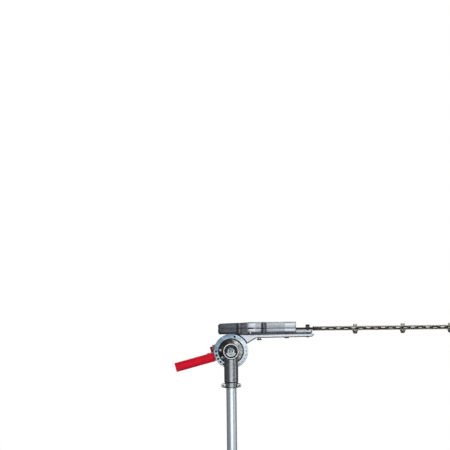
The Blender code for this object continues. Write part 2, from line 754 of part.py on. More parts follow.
def make_crank_train(head, steel, bronze):
    """Head shaft with bevel and pinion, crank gear with two eccentrics, and their bearings."""
    bearing(
        "head_bearing", 5 * MM, 13 * MM, 20 * MM, 28 * MM, "Z", steel, head, segments=20, centre=(0, HEAD_Y, 0),
    )
    turned(
        "head_shaft_bush", sleeve(bore(4 * MM, 16), 6.8 * MM, 60.6 * MM, 64.3 * MM), bronze, head,
        segments=16, centre=(0, HEAD_Y, 0),
    )
    for name, low in (("crank_bush_lower", CASE_LOW + 1.5 * MM), ("crank_bush_upper", 60.8 * MM)):
        turned(
            name, sleeve(bore(CRANK_SHAFT_R, 20), 8.8 * MM, low, low + 3.5 * MM), bronze, head,
            segments=20, centre=(CRANK_X, HEAD_Y, 0),
        )

    shaft_spin = make_empty("head_shaft_axis", head, (0, HEAD_Y, 0))
    far = BEVEL_FAR
    shaft_profile = [
        (0, BEVEL_NEAR),
        (BEVEL_NEAR - TIP_GAP, BEVEL_NEAR, "tooth"),
        (far - TIP_GAP, far, "tooth"),
        (7 * MM, far),
        (7 * MM, 19 * MM),
        (5 * MM, 19 * MM),
        (5 * MM, 40 * MM),
        (4 * MM, 41 * MM),
        (4 * MM, 64 * MM),
        (0, 64 * MM),
    ]
    shaft = turned(
        "head_shaft", shaft_profile, steel, shaft_spin, segments=BEVEL_TEETH * 2, teeth=BEVEL_TEETH, depth=0.8 * MM,
    )
    pinion_profile = [
        (0, GEAR_LOW - 0.4 * MM),
        (PINION_R, GEAR_LOW - 0.4 * MM, "tooth"),
        (PINION_R, GEAR_HIGH + 0.2 * MM, "tooth"),
        (0, GEAR_HIGH + 0.2 * MM),
    ]
    pinion = turned(
        "head_pinion", pinion_profile, parent=shaft_spin, segments=PINION_TEETH * 4, teeth=PINION_TEETH, depth=1.4 * MM,
    )
    add_to(shaft, pinion)

    crank_spin = make_empty("crank_axis", head, (CRANK_X, HEAD_Y, 0))
    gear_profile = [
        (0, GEAR_LOW),
        (CRANK_R, GEAR_LOW, "tooth"),
        (CRANK_R, GEAR_HIGH, "tooth"),
        (0, GEAR_HIGH),
    ]
    gear = turned(
        "crank_gear", gear_profile, steel, crank_spin, segments=CRANK_TEETH * 2, teeth=CRANK_TEETH, depth=1.6 * MM,
    )
    throw = STROKE / 2
    core = turned("crank_core", rod(CRANK_SHAFT_R, 41.2 * MM, 64 * MM), parent=crank_spin, segments=20)
    upper = turned(
        "crank_upper_eccentric", rod(ECCENTRIC_R, 54.1 * MM, GEAR_LOW + 1 * MM), parent=crank_spin,
        segments=20, centre=(0, throw, 0),
    )
    lower = turned(
        "crank_lower_eccentric", rod(ECCENTRIC_R, 45.2 * MM, 47.9 * MM), parent=crank_spin,
        segments=20, centre=(0, -throw, 0),
    )
    add_to(gear, core, upper, lower)


def blade_outline(first_tooth, teeth):
    """Yoke at the crank, narrow tang, then a spine with teeth along both edges and a round tip."""
    yoke_half = 18 * MM
    tang_half = 12 * MM
    base = 11 * MM
    tip = 5.5 * MM
    shoulder = 2 * MM
    edge = [
        (CRANK_X - 20 * MM, yoke_half),
        (CRANK_X + 20 * MM, yoke_half),
        (CRANK_X + 26 * MM, tang_half),
        (first_tooth - base - 6 * MM, tang_half),
    ]
    for number in range(teeth):
        x = first_tooth + number * TOOTH_PITCH
        edge += [
            (x - base, BLADE_HALF),
            (x - tip, TOOTH_HALF - shoulder),
            (x - tip + shoulder, TOOTH_HALF),
            (x + tip - shoulder, TOOTH_HALF),
            (x + tip, TOOTH_HALF - shoulder),
            (x + base, BLADE_HALF),
        ]
    end = first_tooth + (teeth - 1) * TOOTH_PITCH + base
    edge += [(end + 2 * MM, 9 * MM), (end + 4 * MM, 5 * MM)]
    return [(x, HEAD_Y + y) for x, y in edge] + [(x, HEAD_Y - y) for x, y in reversed(edge)]


def make_blades(head, blade_steel):
    """Two toothed blades that slide against each other, each with a yoke and bolt slots."""
    throw = STROKE / 2
    blades = (
        ("lower_blade", LOWER_BLADE_Z, LOWER_FIRST_TOOTH, LOWER_TEETH),
        ("upper_blade", UPPER_BLADE_Z, UPPER_FIRST_TOOTH, UPPER_TEETH),
    )
    for name, low, first_tooth, teeth in blades:
        slide = make_empty(f"{name}_slide", head)
        blade = prism(name, blade_outline(first_tooth, teeth), low, low + BLADE_THICK, blade_steel, slide)
        slots = bmesh.new()
        openings = [((CRANK_X, HEAD_Y), throw + CRANK_SHAFT_R + 0.6 * MM, CRANK_SHAFT_R + 0.6 * MM)]
        for x in (NOSE_BOLT_X, *GUIDE_BOLTS_X):
            openings.append(((x, HEAD_Y), throw + BOLT_R + 0.6 * MM, BOLT_R + 0.4 * MM))
        for centre, half_length, radius in openings:
            outline = slot_outline(centre, half_length, radius)
            add_lofted(slots, [[(x, y, z) for x, y in outline] for z in (low - 1 * MM, low + 4 * MM)])
        cut_from(blade, make_object(f"{name}_slots", slots, None, slide))


def bar_outline():
    """Guide bar plan with both ends rounded off."""
    corner = 5 * MM
    top = HEAD_Y + BAR_HALF
    low = HEAD_Y - BAR_HALF
    return (
        arc((BAR_START + corner, top - corner), corner, 90, 180, 4)
        + arc((BAR_START + corner, low + corner), corner, 180, 270, 4)
        + arc((BAR_END - BAR_HALF, HEAD_Y), BAR_HALF, -90, 90, 12)
    )


def make_guide_bars(head, steel, zinc, black):
    """Bars above and below the blades, with the bolts that hold the stack together."""
    for name, low in (("top_guide_bar", TOP_BAR_Z), ("bottom_guide_bar", BOTTOM_BAR_Z)):
        bar = prism(name, bar_outline(), low, low + BAR_THICK, steel, head)
        holes = bmesh.new()
        for x in GUIDE_BOLTS_X:
            add_turned(holes, rod(BOLT_R + GAP, low - 1 * MM, low + 4 * MM), centre=(x, HEAD_Y, 0), segments=10)
        cut_from(bar, make_object(f"{name}_holes", holes, None, head))

    nose = (NOSE_BOLT_X, HEAD_Y, 0)
    washer_low = UPPER_BLADE_Z + BLADE_THICK + GAP
    washer_top = washer_low + 1.3 * MM
    turned(
        "nose_washer", sleeve(BOLT_R + GAP, 6.2 * MM, washer_low, washer_top), zinc, head, segments=16, centre=nose,
    )
    nose_profile = [
        (0, ARM_LOW - 1.6 * MM),
        (BOLT_R, ARM_LOW - 1.6 * MM),
        (BOLT_R, washer_top + GAP),
        (4.75 * MM, washer_top + GAP),
        (4.75 * MM, washer_top + 5 * MM),
        (4.3 * MM, washer_top + 5.4 * MM),
        (0, washer_top + 5.4 * MM),
    ]
    turned("nose_bolt", nose_profile, black, head, segments=16, centre=nose)

    top = TOP_BAR_Z + BAR_THICK
    seat = BOTTOM_BAR_Z - GAP
    for number, x in enumerate(GUIDE_BOLTS_X, 1):
        centre = (x, HEAD_Y, 0)
        bolt_profile = [
            (0, seat - 8 * MM),
            (4 * MM, seat - 8 * MM),
            (5.4 * MM, seat - 6.5 * MM),
            (5.4 * MM, seat - 2.6 * MM),
            (7 * MM, seat - 1.5 * MM),
            (7 * MM, seat),
            (BOLT_R, seat),
            (BOLT_R, top + 4.8 * MM),
            (0, top + 4.8 * MM),
        ]
        turned(f"guide_bolt_{number}", bolt_profile, zinc, head, segments=16, centre=centre)
        nut_low = top + GAP
        hexagon = arc((x, HEAD_Y), 4.9 * MM, 0, 300, 5)
        nut = prism(f"guide_nut_{number}", hexagon, nut_low, nut_low + 4.1 * MM, zinc, head)
        thread = turned(
            f"nut_hole_{number}", rod(BOLT_R + GAP, top, top + 6 * MM), parent=head, segments=10, centre=centre,
        )
        cut_from(nut, thread)


def make_handle(head, handle, red, steel):
    """Steel tube on the bracket's spigot with a red sleeve over it."""
    centre = (0, -HANDLE_Y, -HANDLE_DROP)
    turned(
        "handle_tube", sleeve(7.3 * MM, 9.2 * MM, HANDLE_START, HANDLE_END - 5 * MM), steel, handle,
        axis="X", segments=20, centre=centre,
    )
    grip_profile = [
        (9.5 * MM, HANDLE_START),
        (GRIP_R - 0.4 * MM, HANDLE_START),
        (GRIP_R, HANDLE_START + 0.6 * MM),
        (GRIP_R, HANDLE_END - 0.8 * MM),
        (GRIP_R - 0.8 * MM, HANDLE_END),
        (3 * MM, HANDLE_END),
        (3 * MM, HANDLE_END - 3 * MM),
        (9.5 * MM, HANDLE_END - 3 * MM),
    ]
    turned("handle_grip", grip_profile, red, handle, axis="X", segments=20, centre=centre)


def make_lock(handle, dark_red, steel):
    """Squeeze lever on its pin, the return spring beside it, and the pin that it draws back."""
    pivot = (LEVER_PIVOT_R, -LEVER_Y, 0)
    turned("lever_pin", rod(2 * MM, -10 * MM, 10 * MM), steel, handle, segments=16, centre=pivot)
    turned("lock_spring", sleeve(2.4 * MM, 4.1 * MM, 3.7 * MM, 6.7 * MM), steel, handle, segments=16, centre=pivot)

    swing = make_empty("lever_axis", handle, pivot)
    half = LEVER_THICK / 2
    eye_half = 3.3 * MM
    body_half = 6.2 * MM
    lever = turned("lock_lever", rod(4.5 * MM, -eye_half, eye_half), dark_red, swing, segments=16)
    tongue = box("lever_tongue", (-20.5 * MM, -0.8 * MM, -5 * MM), (-9 * MM, 0.8 * MM, 5 * MM), parent=swing)
    inner = box("lever_inner", (-12.6 * MM, -half, -body_half), (-6.3 * MM, half, 22.7 * MM), parent=swing)
    web = box("lever_web", (-8 * MM, -half, -eye_half), (8 * MM, half, eye_half), parent=swing)
    arm_shape = [(6.3 * MM, half), (43 * MM, -10 * MM + half), (43 * MM, -10 * MM - half), (6.3 * MM, -half)]
    arm = prism("lever_arm", arm_shape, -body_half, body_half, parent=swing)
    add_to(lever, tongue, inner, web, arm)
    fork = box("lever_fork", (-24 * MM, -3 * MM, -2.8 * MM), (-14 * MM, 3 * MM, 2.8 * MM), parent=swing)
    eye = turned("lever_eye", rod(bore(2 * MM, 16), -5 * MM, 5 * MM), parent=swing, segments=16)
    cut_from(lever, fork, eye)

    travel = make_empty("lock_pin_axis", handle, (INDEX_R, 0, 0))
    collar = 4.2 * MM
    pin_profile = [
        (0, -PLATE_BACK - GAP),
        (LOCK_PIN_R - 0.5 * MM, -PLATE_BACK - GAP),
        (LOCK_PIN_R, -PLATE_BACK - GAP - 0.8 * MM),
        (LOCK_PIN_R, -44.3 * MM),
        (collar, -44.3 * MM),
        (collar, -46 * MM),
        (LOCK_PIN_R, -46 * MM),
        (LOCK_PIN_R, -50 * MM),
        (collar, -50 * MM),
        (collar, -52 * MM),
        (0, -52 * MM),
    ]
    turned("lock_pin", pin_profile, steel, travel, axis="Y", segments=12)


def build():
    clear_scene()
    cast = make_material("cast_aluminium", (0.16, 0.17, 0.18), 0.38, 0.85)
    aluminium = make_material("anodised_aluminium", (0.72, 0.74, 0.75), 0.3, 1)
    steel = make_material("machined_steel", (0.55, 0.56, 0.57), 0.3, 1)
    zinc = make_material("zinc_plate", (0.62, 0.68, 0.72), 0.32, 1)
    black = make_material("blackened_steel", (0.03, 0.03, 0.03), 0.4, 0.8)
    blade_steel = make_material("blade_steel", (0.1, 0.095, 0.085), 0.35, 0.9)
    bronze = make_material("bush_bronze", (0.5, 0.33, 0.14), 0.35, 1)
    brass = make_material("brass", (0.75, 0.6, 0.3), 0.3, 1)
    plastic = make_material("bush_plastic", (0.08, 0.08, 0.08), 0.5, 0)
    red = make_material("grip_red", (0.6, 0.01, 0.03), 0.45, 0)
    dark_red = make_material("lever_red", (0.35, 0.01, 0.02), 0.4, 0)

    root = make_empty("pole_origin")
    pivot = make_empty("tilt_pivot", root, (0, 0, PIVOT_Z))
    head = make_empty("head_pivot", pivot)
    handle = make_empty("handle_frame", head)
    handle.matrix_local = handle_matrix()

    make_pole(root, steel, aluminium, plastic)
    make_neck(pivot, cast)
    make_clamp(pivot, cast, zinc)
    make_index_plate(pivot, zinc)
    make_cross_shaft(pivot, steel)
    make_bracket(head, handle, cast)
    make_rear_cap(head, cast)
    make_lower_case(head, cast, brass)
    make_upper_cover(head, cast, black)
    make_arm_screws(head, black)
    make_crank_train(head, steel, bronze)
    make_blades(head, blade_steel)
    make_guide_bars(head, steel, zinc, black)
    make_handle(head, handle, red, steel)
    make_lock(handle, dark_red, steel)


build()
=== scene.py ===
"""Looks for an articulating hedge trimmer head: fine meshes, materials, studio and camera.

Meshes are written in millimetres in the pivot frame: x along the cutter bar, y to the back, z up, and
the origin on the tilt axis. TO_WORLD turns them into the row frame's metres.
"""

import json
from math import asin, atan2, cos, degrees, pi, radians, sin, sqrt, tan

import bmesh
import bpy
from mathutils import Euler, Matrix, Vector


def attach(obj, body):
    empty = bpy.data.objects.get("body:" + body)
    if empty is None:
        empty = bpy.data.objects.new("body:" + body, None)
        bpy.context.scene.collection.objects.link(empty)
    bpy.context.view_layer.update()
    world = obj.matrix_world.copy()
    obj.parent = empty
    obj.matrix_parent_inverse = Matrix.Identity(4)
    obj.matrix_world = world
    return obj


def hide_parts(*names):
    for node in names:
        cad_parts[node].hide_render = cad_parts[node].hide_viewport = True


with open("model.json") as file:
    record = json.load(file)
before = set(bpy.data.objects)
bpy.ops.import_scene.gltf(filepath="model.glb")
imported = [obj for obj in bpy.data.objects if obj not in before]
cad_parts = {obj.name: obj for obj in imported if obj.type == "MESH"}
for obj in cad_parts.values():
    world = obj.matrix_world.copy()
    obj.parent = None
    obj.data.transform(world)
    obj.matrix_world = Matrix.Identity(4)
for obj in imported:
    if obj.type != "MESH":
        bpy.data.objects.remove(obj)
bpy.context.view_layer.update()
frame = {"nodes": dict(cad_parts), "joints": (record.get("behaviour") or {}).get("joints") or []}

MM = 0.001
JOINTS = {joint["name"]: joint for joint in frame["joints"]}
PIVOT = Vector(JOINTS["head_tilt"]["pos_m"])
TO_WORLD = Matrix.Translation(PIVOT) @ Matrix.Scale(MM, 4)
HANDLE_TILT = radians(15)  # the handle points left and this much down
HANDLE = TO_WORLD @ Matrix.Rotation(-HANDLE_TILT, 4, "Y") @ Matrix.Rotation(pi, 4, "Z")
HANDLE_DROP = 2.1  # its centre line passes this far below the pivot
HANDLE_START = 40.9
LEVER_PIVOT = (52, -48)  # in the handle's own frame

POLE_R = 12
TUBE_BORE_R = POLE_R + 0.2  # what holds the tube
BORE_R = 14.05  # bore of the neck's round front
BEARING_R = 13.75
HUB_BORE_R = 19.8  # what goes over the neck's hub
BOLT_HOLE_R = 3.3
PLATE_R = 40.4
PLATE_FRONT = 17
PLATE_HOLES_R = 35.2
HEAD_Y = 62  # centre plane of the gearcase and cutter bar
CRANK_X = 38
REAR_SCREW_X = 67
FRONT_SCREW_X = 131.6
NOSE_BOLT_X = 181
SIDES = (-1, 1)


# Mesh helpers


def unit(vector):
    return vector / vector.length


def rounded(points, steps=4, closed=True):
    """Turns each (u, v, radius) corner into an arc; (u, v) corners stay sharp."""
    made = []
    for index, point in enumerate(points):
        corner = Vector(point[:2])
        radius = point[2] if len(point) > 2 else 0
        at_end = not closed and index in (0, len(points) - 1)
        if radius <= 0 or at_end:
            made.append(tuple(corner))
            continue
        before = unit(Vector(points[index - 1][:2]) - corner)
        after = unit(Vector(points[(index + 1) % len(points)][:2]) - corner)
        if (before + after).length < 1e-4:
            made += [tuple(corner)] * (steps + 1)
            continue
        half = before.angle(after) / 2
        centre = corner + unit(before + after) * (radius / sin(half))
        first = corner + before * (radius / tan(half)) - centre
        last = corner + after * (radius / tan(half)) - centre
        start = atan2(first.y, first.x)
        turn = (atan2(last.y, last.x) - start + pi) % (2 * pi) - pi
        for step in range(steps + 1):
            angle = start + turn * step / steps
            made.append((centre.x + radius * cos(angle), centre.y + radius * sin(angle)))
    return made


def inset(points, amount):
    """Moves every edge of a counter-clockwise outline inwards, and the corner radii with it."""
    made = []
    for index, point in enumerate(points):
        corner = Vector(point[:2])
        before = unit(corner - Vector(points[index - 1][:2]))
        after = unit(Vector(points[(index + 1) % len(points)][:2]) - corner)
        first = Vector((-before.y, before.x))
        second = Vector((-after.y, after.x))
        moved = corner + (first + second) * (amount / (1 + first.dot(second)))
        radius = point[2] if len(point) > 2 else 0
        bulge = 1 if before.cross(after) > 0 else -1
        made.append((moved.x, moved.y, max(radius - amount * bulge, 0.02) if radius else 0))
    return made


def arc(centre, radius, start, end, steps):
    """Points along an arc, in degrees."""
    angles = [radians(start + (end - start) * step / steps) for step in range(steps + 1)]
    return [(centre[0] + radius * cos(angle), centre[1] + radius * sin(angle)) for angle in angles]


def rectangle(low_u, low_v, high_u, high_v, radius=0):
    corners = [(low_u, low_v), (high_u, low_v), (high_u, high_v), (low_u, high_v)]
    return [(u, v, radius) for u, v in corners]


def polygon(centre, radius, sides):
    return arc(centre, radius, 0, 360 * (sides - 1) / sides, sides - 1)


def on_axis(axis):
    """Maps an outline's (u, v) and a height along the axis to x, y and z."""
    return {
        "X": lambda u, v, h: (h, u, v),
        "Y": lambda u, v, h: (v, h, u),
        "Z": lambda u, v, h: (u, v, h),
    }[axis]


def solid(mesh_data, material=None):
    """An unnamed working object with its faces turned outwards."""
    bmesh.ops.recalc_face_normals(mesh_data, faces=mesh_data.faces)
    mesh = bpy.data.meshes.new("work")
    mesh_data.to_mesh(mesh)
    mesh_data.free()
    if material:
        mesh.materials.append(material)
    made = bpy.data.objects.new("work", mesh)
    bpy.context.collection.objects.link(made)
    return made


def lofted(sections, material=None):
    """Joins closed outlines that have the same number of points, and caps both ends."""
    mesh_data = bmesh.new()
    rings = [[mesh_data.verts.new(point) for point in section] for section in sections]
    count = len(rings[0])
    for low, high in zip(rings, rings[1:]):
        for step in range(count):
            after = (step + 1) % count
            mesh_data.faces.new((low[step], low[after], high[after], high[step]))
    mesh_data.faces.new(rings[0])
    mesh_data.faces.new(rings[-1])
    return solid(mesh_data, material)


def slab(outline, levels, material=None, axis="Z", steps=4):
    """Extrudes an outline through (height, inset) levels."""
    place = on_axis(axis)
    sections = []
    for height, amount in levels:
        section = rounded(inset(outline, amount), steps)
        sections.append([place(u, v, height) for u, v in section])
    return lofted(sections, material)


def edged(low, high, soft):
    """Levels of a slab whose two rims are rounded off."""
    slope = soft * 0.3
    bottom = [(low, soft), (low + slope, slope), (low + soft, 0)]
    top = [(high - soft, 0), (high - slope, slope), (high, soft)]
    return bottom + top


def plate(outline, low, high, material=None, axis="Z", soft=0.3, steps=4):
    return slab(outline, edged(low, high, soft), material, axis, steps)


def block(low, high, material=None, radius=0, soft=0):
    outline = rectangle(low[0], low[1], high[0], high[1], radius)
    levels = edged(low[2], high[2], soft) if soft else [(low[2], 0), (high[2], 0)]
    return slab(outline, levels, material)


def turned(profile, material=None, axis="Z", segments=64, centre=(0, 0, 0), teeth=0, depth=0):
    """Turns a profile of (radius, height, corner radius) points about an axis.

    A profile that starts and ends on the axis makes a solid, any other one closes into a ring. With
    teeth, what lies within depth of the largest radius is cut back by depth between them.
    """
    place = on_axis(axis)
    centre = Vector(centre)
    whole = profile[0][0] == 0 and profile[-1][0] == 0
    mesh_data = bmesh.new()
    rim = max(point[0] for point in profile) - depth
    rings = []
    for radius, height in rounded(profile, 3, closed=not whole):
        if radius == 0:
            rings.append([mesh_data.verts.new(centre + Vector(place(0, 0, height)))])
            continue
        ring = []
        for step in range(segments):
            cut = depth * tooth_shape(step * teeth / segments % 1) if teeth and radius > rim else 0
            angle = 2 * pi * step / segments
            corner = place((radius - cut) * cos(angle), (radius - cut) * sin(angle), height)
            ring.append(mesh_data.verts.new(centre + Vector(corner)))
        rings.append(ring)
    pairs = list(zip(rings, rings[1:]))
    if not whole:
        pairs.append((rings[-1], rings[0]))
    for low, high in pairs:
        for step in range(segments):
            after = (step + 1) % segments
            corners = [low[step % len(low)], low[after % len(low)]]
            corners += [high[after % len(high)], high[step % len(high)]]
            mesh_data.faces.new(list(dict.fromkeys(corners)))
    return solid(mesh_data, material)


def tooth_shape(phase):
    """0 on a tooth's crest and 1 in the gap, with sloping flanks between."""
    return min(max(1.5 - 4 * abs(phase - 0.5), 0), 1)


def rod(radius, start, end, material=None, axis="Z", segments=48, centre=(0, 0, 0), soft=0):
    profile = [(0, start), (radius, start, soft), (radius, end, soft), (0, end)]
    return turned(profile, material, axis, segments, centre)


def sleeve(inner, outer, start, end, material=None, axis="Z", segments=64, centre=(0, 0, 0), soft=0.3):
    profile = [(inner, start, soft), (outer, start, soft), (outer, end, soft), (inner, end, soft)]
    return turned(profile, material, axis, segments, centre)


def baked(made):
    """Applies the object's modifiers to its mesh."""
    graph = bpy.context.evaluated_depsgraph_get()
    mesh = bpy.data.meshes.new_from_object(made.evaluated_get(graph), depsgraph=graph)
    made.modifiers.clear()
    old = made.data
    made.data = mesh
    bpy.data.meshes.remove(old)
    return made


def boolean(target, tools, operation):
    """Adds or cuts the tools one after another. Cut faces keep the tool's own material."""
    for tool in tools:
        modifier = target.modifiers.new("boolean", "BOOLEAN")
        modifier.operation = operation
        modifier.solver = "EXACT"
        modifier.material_mode = "TRANSFER"
        modifier.object = tool
    baked(target)
    for tool in tools:
        bpy.data.objects.remove(tool, do_unlink=True)
    return target


def add(target, *tools):
    return boolean(target, tools, "UNION")


def cut(target, *tools):
    return boolean(target, tools, "DIFFERENCE")


def joined(first, *others):
    """One mesh that holds several shells."""
    mesh_data = bmesh.new()
    for made in (first, *others):
        mesh_data.from_mesh(made.data)
    material = first.data.materials[0]
    for made in (first, *others):
        bpy.data.objects.remove(made, do_unlink=True)
    for face in mesh_data.faces:
        face.material_index = 0
    mesh = bpy.data.meshes.new("work")
    mesh_data.to_mesh(mesh)
    mesh_data.free()
    mesh.materials.append(material)
    made = bpy.data.objects.new("work", mesh)
    bpy.context.collection.objects.link(made)
    return made


def cast(shells, size):
    """Melts overlapping shells into one casting with soft fillets between them."""
    made = joined(*shells)
    melt = made.modifiers.new("melt", "REMESH")
    melt.mode = "VOXEL"
    melt.voxel_size = size * 1
    soften = made.modifiers.new("soften", "SMOOTH")
    soften.factor = 0.5
    soften.iterations = 6
    return baked(made)


def paint(made, material, test):
    """Gives faces whose centre and normal pass the test another material."""
    made.data.materials.append(material)
    index = len(made.data.materials) - 1
    for face in made.data.polygons:
        if test(face.center, face.normal):
            face.material_index = index


def piece(name, made, body, nodes, place=TO_WORLD):
    """Names a finished mesh, puts it in the row frame and hands it to its body."""
    made.name = name
    made.data.name = name
    made.data.transform(place)
    made.data.shade_smooth()
    made.data.set_sharp_from_angle(angle=radians(30))
    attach(made, body)
    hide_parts(*nodes)


# Materials


def map_range(tree, output, low, high, start, end):
    """Maps an output from start..end to low..high."""
    ranged = tree.nodes.new("ShaderNodeMapRange")
    ranged.inputs["From Min"].default_value = start
    ranged.inputs["From Max"].default_value = end
    ranged.inputs["To Min"].default_value = low
    ranged.inputs["To Max"].default_value = high
    tree.links.new(output, ranged.inputs["Value"])
    return ranged.outputs["Result"]


class Nodes:
    """Short names for building one material's node tree."""

    def __init__(self, name):
        self.material = bpy.data.materials.new(name)
        self.material.use_nodes = True
        self.tree = self.material.node_tree
        self.shader = self.tree.nodes["Principled BSDF"]
        self.place = self.tree.nodes.new("ShaderNodeTexCoord").outputs["Object"]

    def node(self, kind, **settings):
        made = self.tree.nodes.new(kind)
        for key, value in settings.items():
            setattr(made, key, value)
        return made

    def link(self, output, socket):
        self.tree.links.new(output, socket)

    def noise(self, size, stretch=(1, 1, 1), detail=4):
        """Noise whose features are about size millimetres, longer along stretched axes."""
        mapping = self.node("ShaderNodeMapping")
        mapping.inputs["Scale"].default_value = [1 / (size * MM * factor) for factor in stretch]
        self.link(self.place, mapping.inputs["Vector"])
        noise = self.node("ShaderNodeTexNoise")
        noise.inputs["Scale"].default_value = 1
        noise.inputs["Detail"].default_value = detail
        noise.inputs["Roughness"].default_value = 0.55
        self.link(mapping.outputs["Vector"], noise.inputs["Vector"])
        return noise.outputs["Fac"]

    def span(self, value, low, high, start=0.3, end=0.7):
        """Maps a value, by default the middle of a noise, to low..high."""
        return map_range(self.tree, value, low, high, start, end)

    def shade_along(self, value, direction, dark_end, light_end):
        """Lowers a noise value at one end of a direction and raises it at the other: painted shade at one
        end, painted light at the other.
        """
        along = self.node("ShaderNodeVectorMath", operation="DOT_PRODUCT")
        self.link(self.place, along.inputs[0])
        along.inputs[1].default_value = direction
        start = PIVOT.dot(Vector(direction))
        shift = self.span(along.outputs["Value"], -0.22, 0.22, start + dark_end * MM, start + light_end * MM)
        total = self.node("ShaderNodeMath", operation="ADD")
        self.link(value, total.inputs[0])
        self.link(shift, total.inputs[1])
        return total.outputs["Value"]

    def mix(self, factor, first, second):
        """Mixes two colours, each a tuple or an output."""
        mixer = self.node("ShaderNodeMix", data_type="RGBA")
        self.link(factor, mixer.inputs["Factor"])
        for value, socket in ((first, mixer.inputs["A"]), (second, mixer.inputs["B"])):
            if isinstance(value, tuple):
                socket.default_value = (*value, 1)
            else:
                self.link(value, socket)
        return mixer.outputs["Result"]

    def edges(self, radius):
        """0 on flat surfaces, towards 1 along edges sharper than the radius in millimetres."""
        bevel = self.node("ShaderNodeBevel", samples=4)
        bevel.inputs["Radius"].default_value = radius * MM
        geometry = self.node("ShaderNodeNewGeometry")
        dot = self.node("ShaderNodeVectorMath", operation="DOT_PRODUCT")
        self.link(bevel.outputs["Normal"], dot.inputs[0])
        self.link(geometry.outputs["Normal"], dot.inputs[1])
        return self.span(dot.outputs["Value"], 1, 0, 0.85, 0.99)

    def bump(self, height, millimetres):
        bump = self.node("ShaderNodeBump")
        bump.inputs["Strength"].default_value = 1
        bump.inputs["Distance"].default_value = millimetres * MM
        self.link(height, bump.inputs["Height"])
        self.link(bump.outputs["Normal"], self.shader.inputs["Normal"])


def make_material(name, dark, light, roughness, metallic=1.0, patch=8, stretch=(1, 1, 1), grain=0.6,
                  bump=0.02, worn=None, gloss=0.5, painted_shade=None):
    """Surface with mottled colour, grain in its gloss and relief, and bare edges if worn is a colour.

    A painted shade is a direction across the surface and the two distances along it, in millimetres from the
    pivot, between which the dark patches, painted shade, give way to the light ones, painted light. Gloss is
    the shader's specular level, which shows on what isn't metal.
    """
    nodes = Nodes(name)
    shader = nodes.shader
    shader.inputs["Metallic"].default_value = metallic
    shader.inputs["Specular IOR Level"].default_value = gloss
    mottle = nodes.noise(patch, stretch, detail=6)
    if painted_shade:
        mottle = nodes.shade_along(mottle, *painted_shade)
    color = nodes.mix(nodes.span(mottle, 0, 1), dark, light)
    fine = nodes.noise(grain, stretch, detail=3)
    if worn:
        scuffs = nodes.node("ShaderNodeMath", operation="MULTIPLY")
        nodes.link(nodes.edges(0.8), scuffs.inputs[0])
        nodes.link(nodes.span(nodes.noise(3), 0.1, 1), scuffs.inputs[1])
        color = nodes.mix(scuffs.outputs["Value"], color, worn)
    nodes.link(color, shader.inputs["Base Color"])
    blend = nodes.node("ShaderNodeMath", operation="ADD")
    nodes.link(nodes.span(fine, roughness[0] / 2, roughness[1] / 2), blend.inputs[0])
    nodes.link(nodes.span(mottle, roughness[0] / 2, roughness[1] / 2), blend.inputs[1])
    nodes.link(blend.outputs["Value"], shader.inputs["Roughness"])
    nodes.bump(fine, bump)
    return nodes.material


CAST_DARK = make_material(
    "cast_dark", (0.27, 0.285, 0.305), (0.43, 0.445, 0.46), (0.22, 0.36), 0.95, 7, (1, 1, 1), 0.7, 0.05,
    worn=(0.6, 0.61, 0.62),
)
# Cone cast, painted darker towards the upper left and lighter towards the lower right: a painted reflection.
CAST_CONE_REFLECTION = make_material(
    "cast_cone_painted_reflection", (0.075, 0.08, 0.065), (0.8, 0.8, 0.74), (0.3, 0.46), 0.85, 9, (1, 1, 1), 0.7, 0.04,
    painted_shade=((0.85, 0, -0.53), -16, 14),
)
CAST_BRIGHT = make_material(
    "cast_bright", (0.355, 0.38, 0.41), (0.575, 0.6, 0.635), (0.2, 0.36), 0.95, 9, (3.5, 1, 0.5), 0.7, 0.045,
    worn=(0.75, 0.76, 0.77),
)
# Near-black cast: painted shade in the rebate along the arm's lower edge.
CAST_DEEP_SHADED = make_material(
    "cast_painted_deep_shade", (0.02, 0.023, 0.028), (0.05, 0.054, 0.062), (0.34, 0.5), 0.95, 6, (1, 1, 2), 0.7, 0.045,
)
# A darker copy of the cast: painted shade on the screw posts and on the lug behind the plate.
CAST_SHADED = make_material(
    "cast_painted_shade", (0.13, 0.142, 0.16), (0.22, 0.236, 0.26), (0.34, 0.5), 0.95, 6, (1, 1, 2), 0.7, 0.045,
)
CAST_GREY = make_material(
    "cast_grey", (0.46, 0.485, 0.52), (0.62, 0.645, 0.68), (0.26, 0.42), 0.92, 10, (2, 1, 1), 0.8, 0.05,
    worn=(0.82, 0.82, 0.82),
)
ALUMINIUM = make_material(
    "anodised_aluminium", (0.62, 0.69, 0.73), (0.71, 0.775, 0.81), (0.26, 0.38), 0.78, 4, (1, 1, 40),
    0.5, 0.008,
)
STEEL = make_material(
    "machined_steel", (0.55, 0.56, 0.57), (0.68, 0.69, 0.7), (0.16, 0.3), 1, 5, (1, 1, 1), 0.25, 0.006,
)
# Zinc plate with worn edges, painted darker towards the upper left and lighter towards the lower right:
# painted shade and light.
ZINC_SHADED = make_material(
    "zinc_plate", (0.11, 0.165, 0.215), (0.51, 0.6, 0.66), (0.2, 0.38), 1, 7, (1, 1, 1), 0.5, 0.02,
    worn=(0.6, 0.64, 0.66), painted_shade=((0.707, 0, -0.707), -34, 10),
)
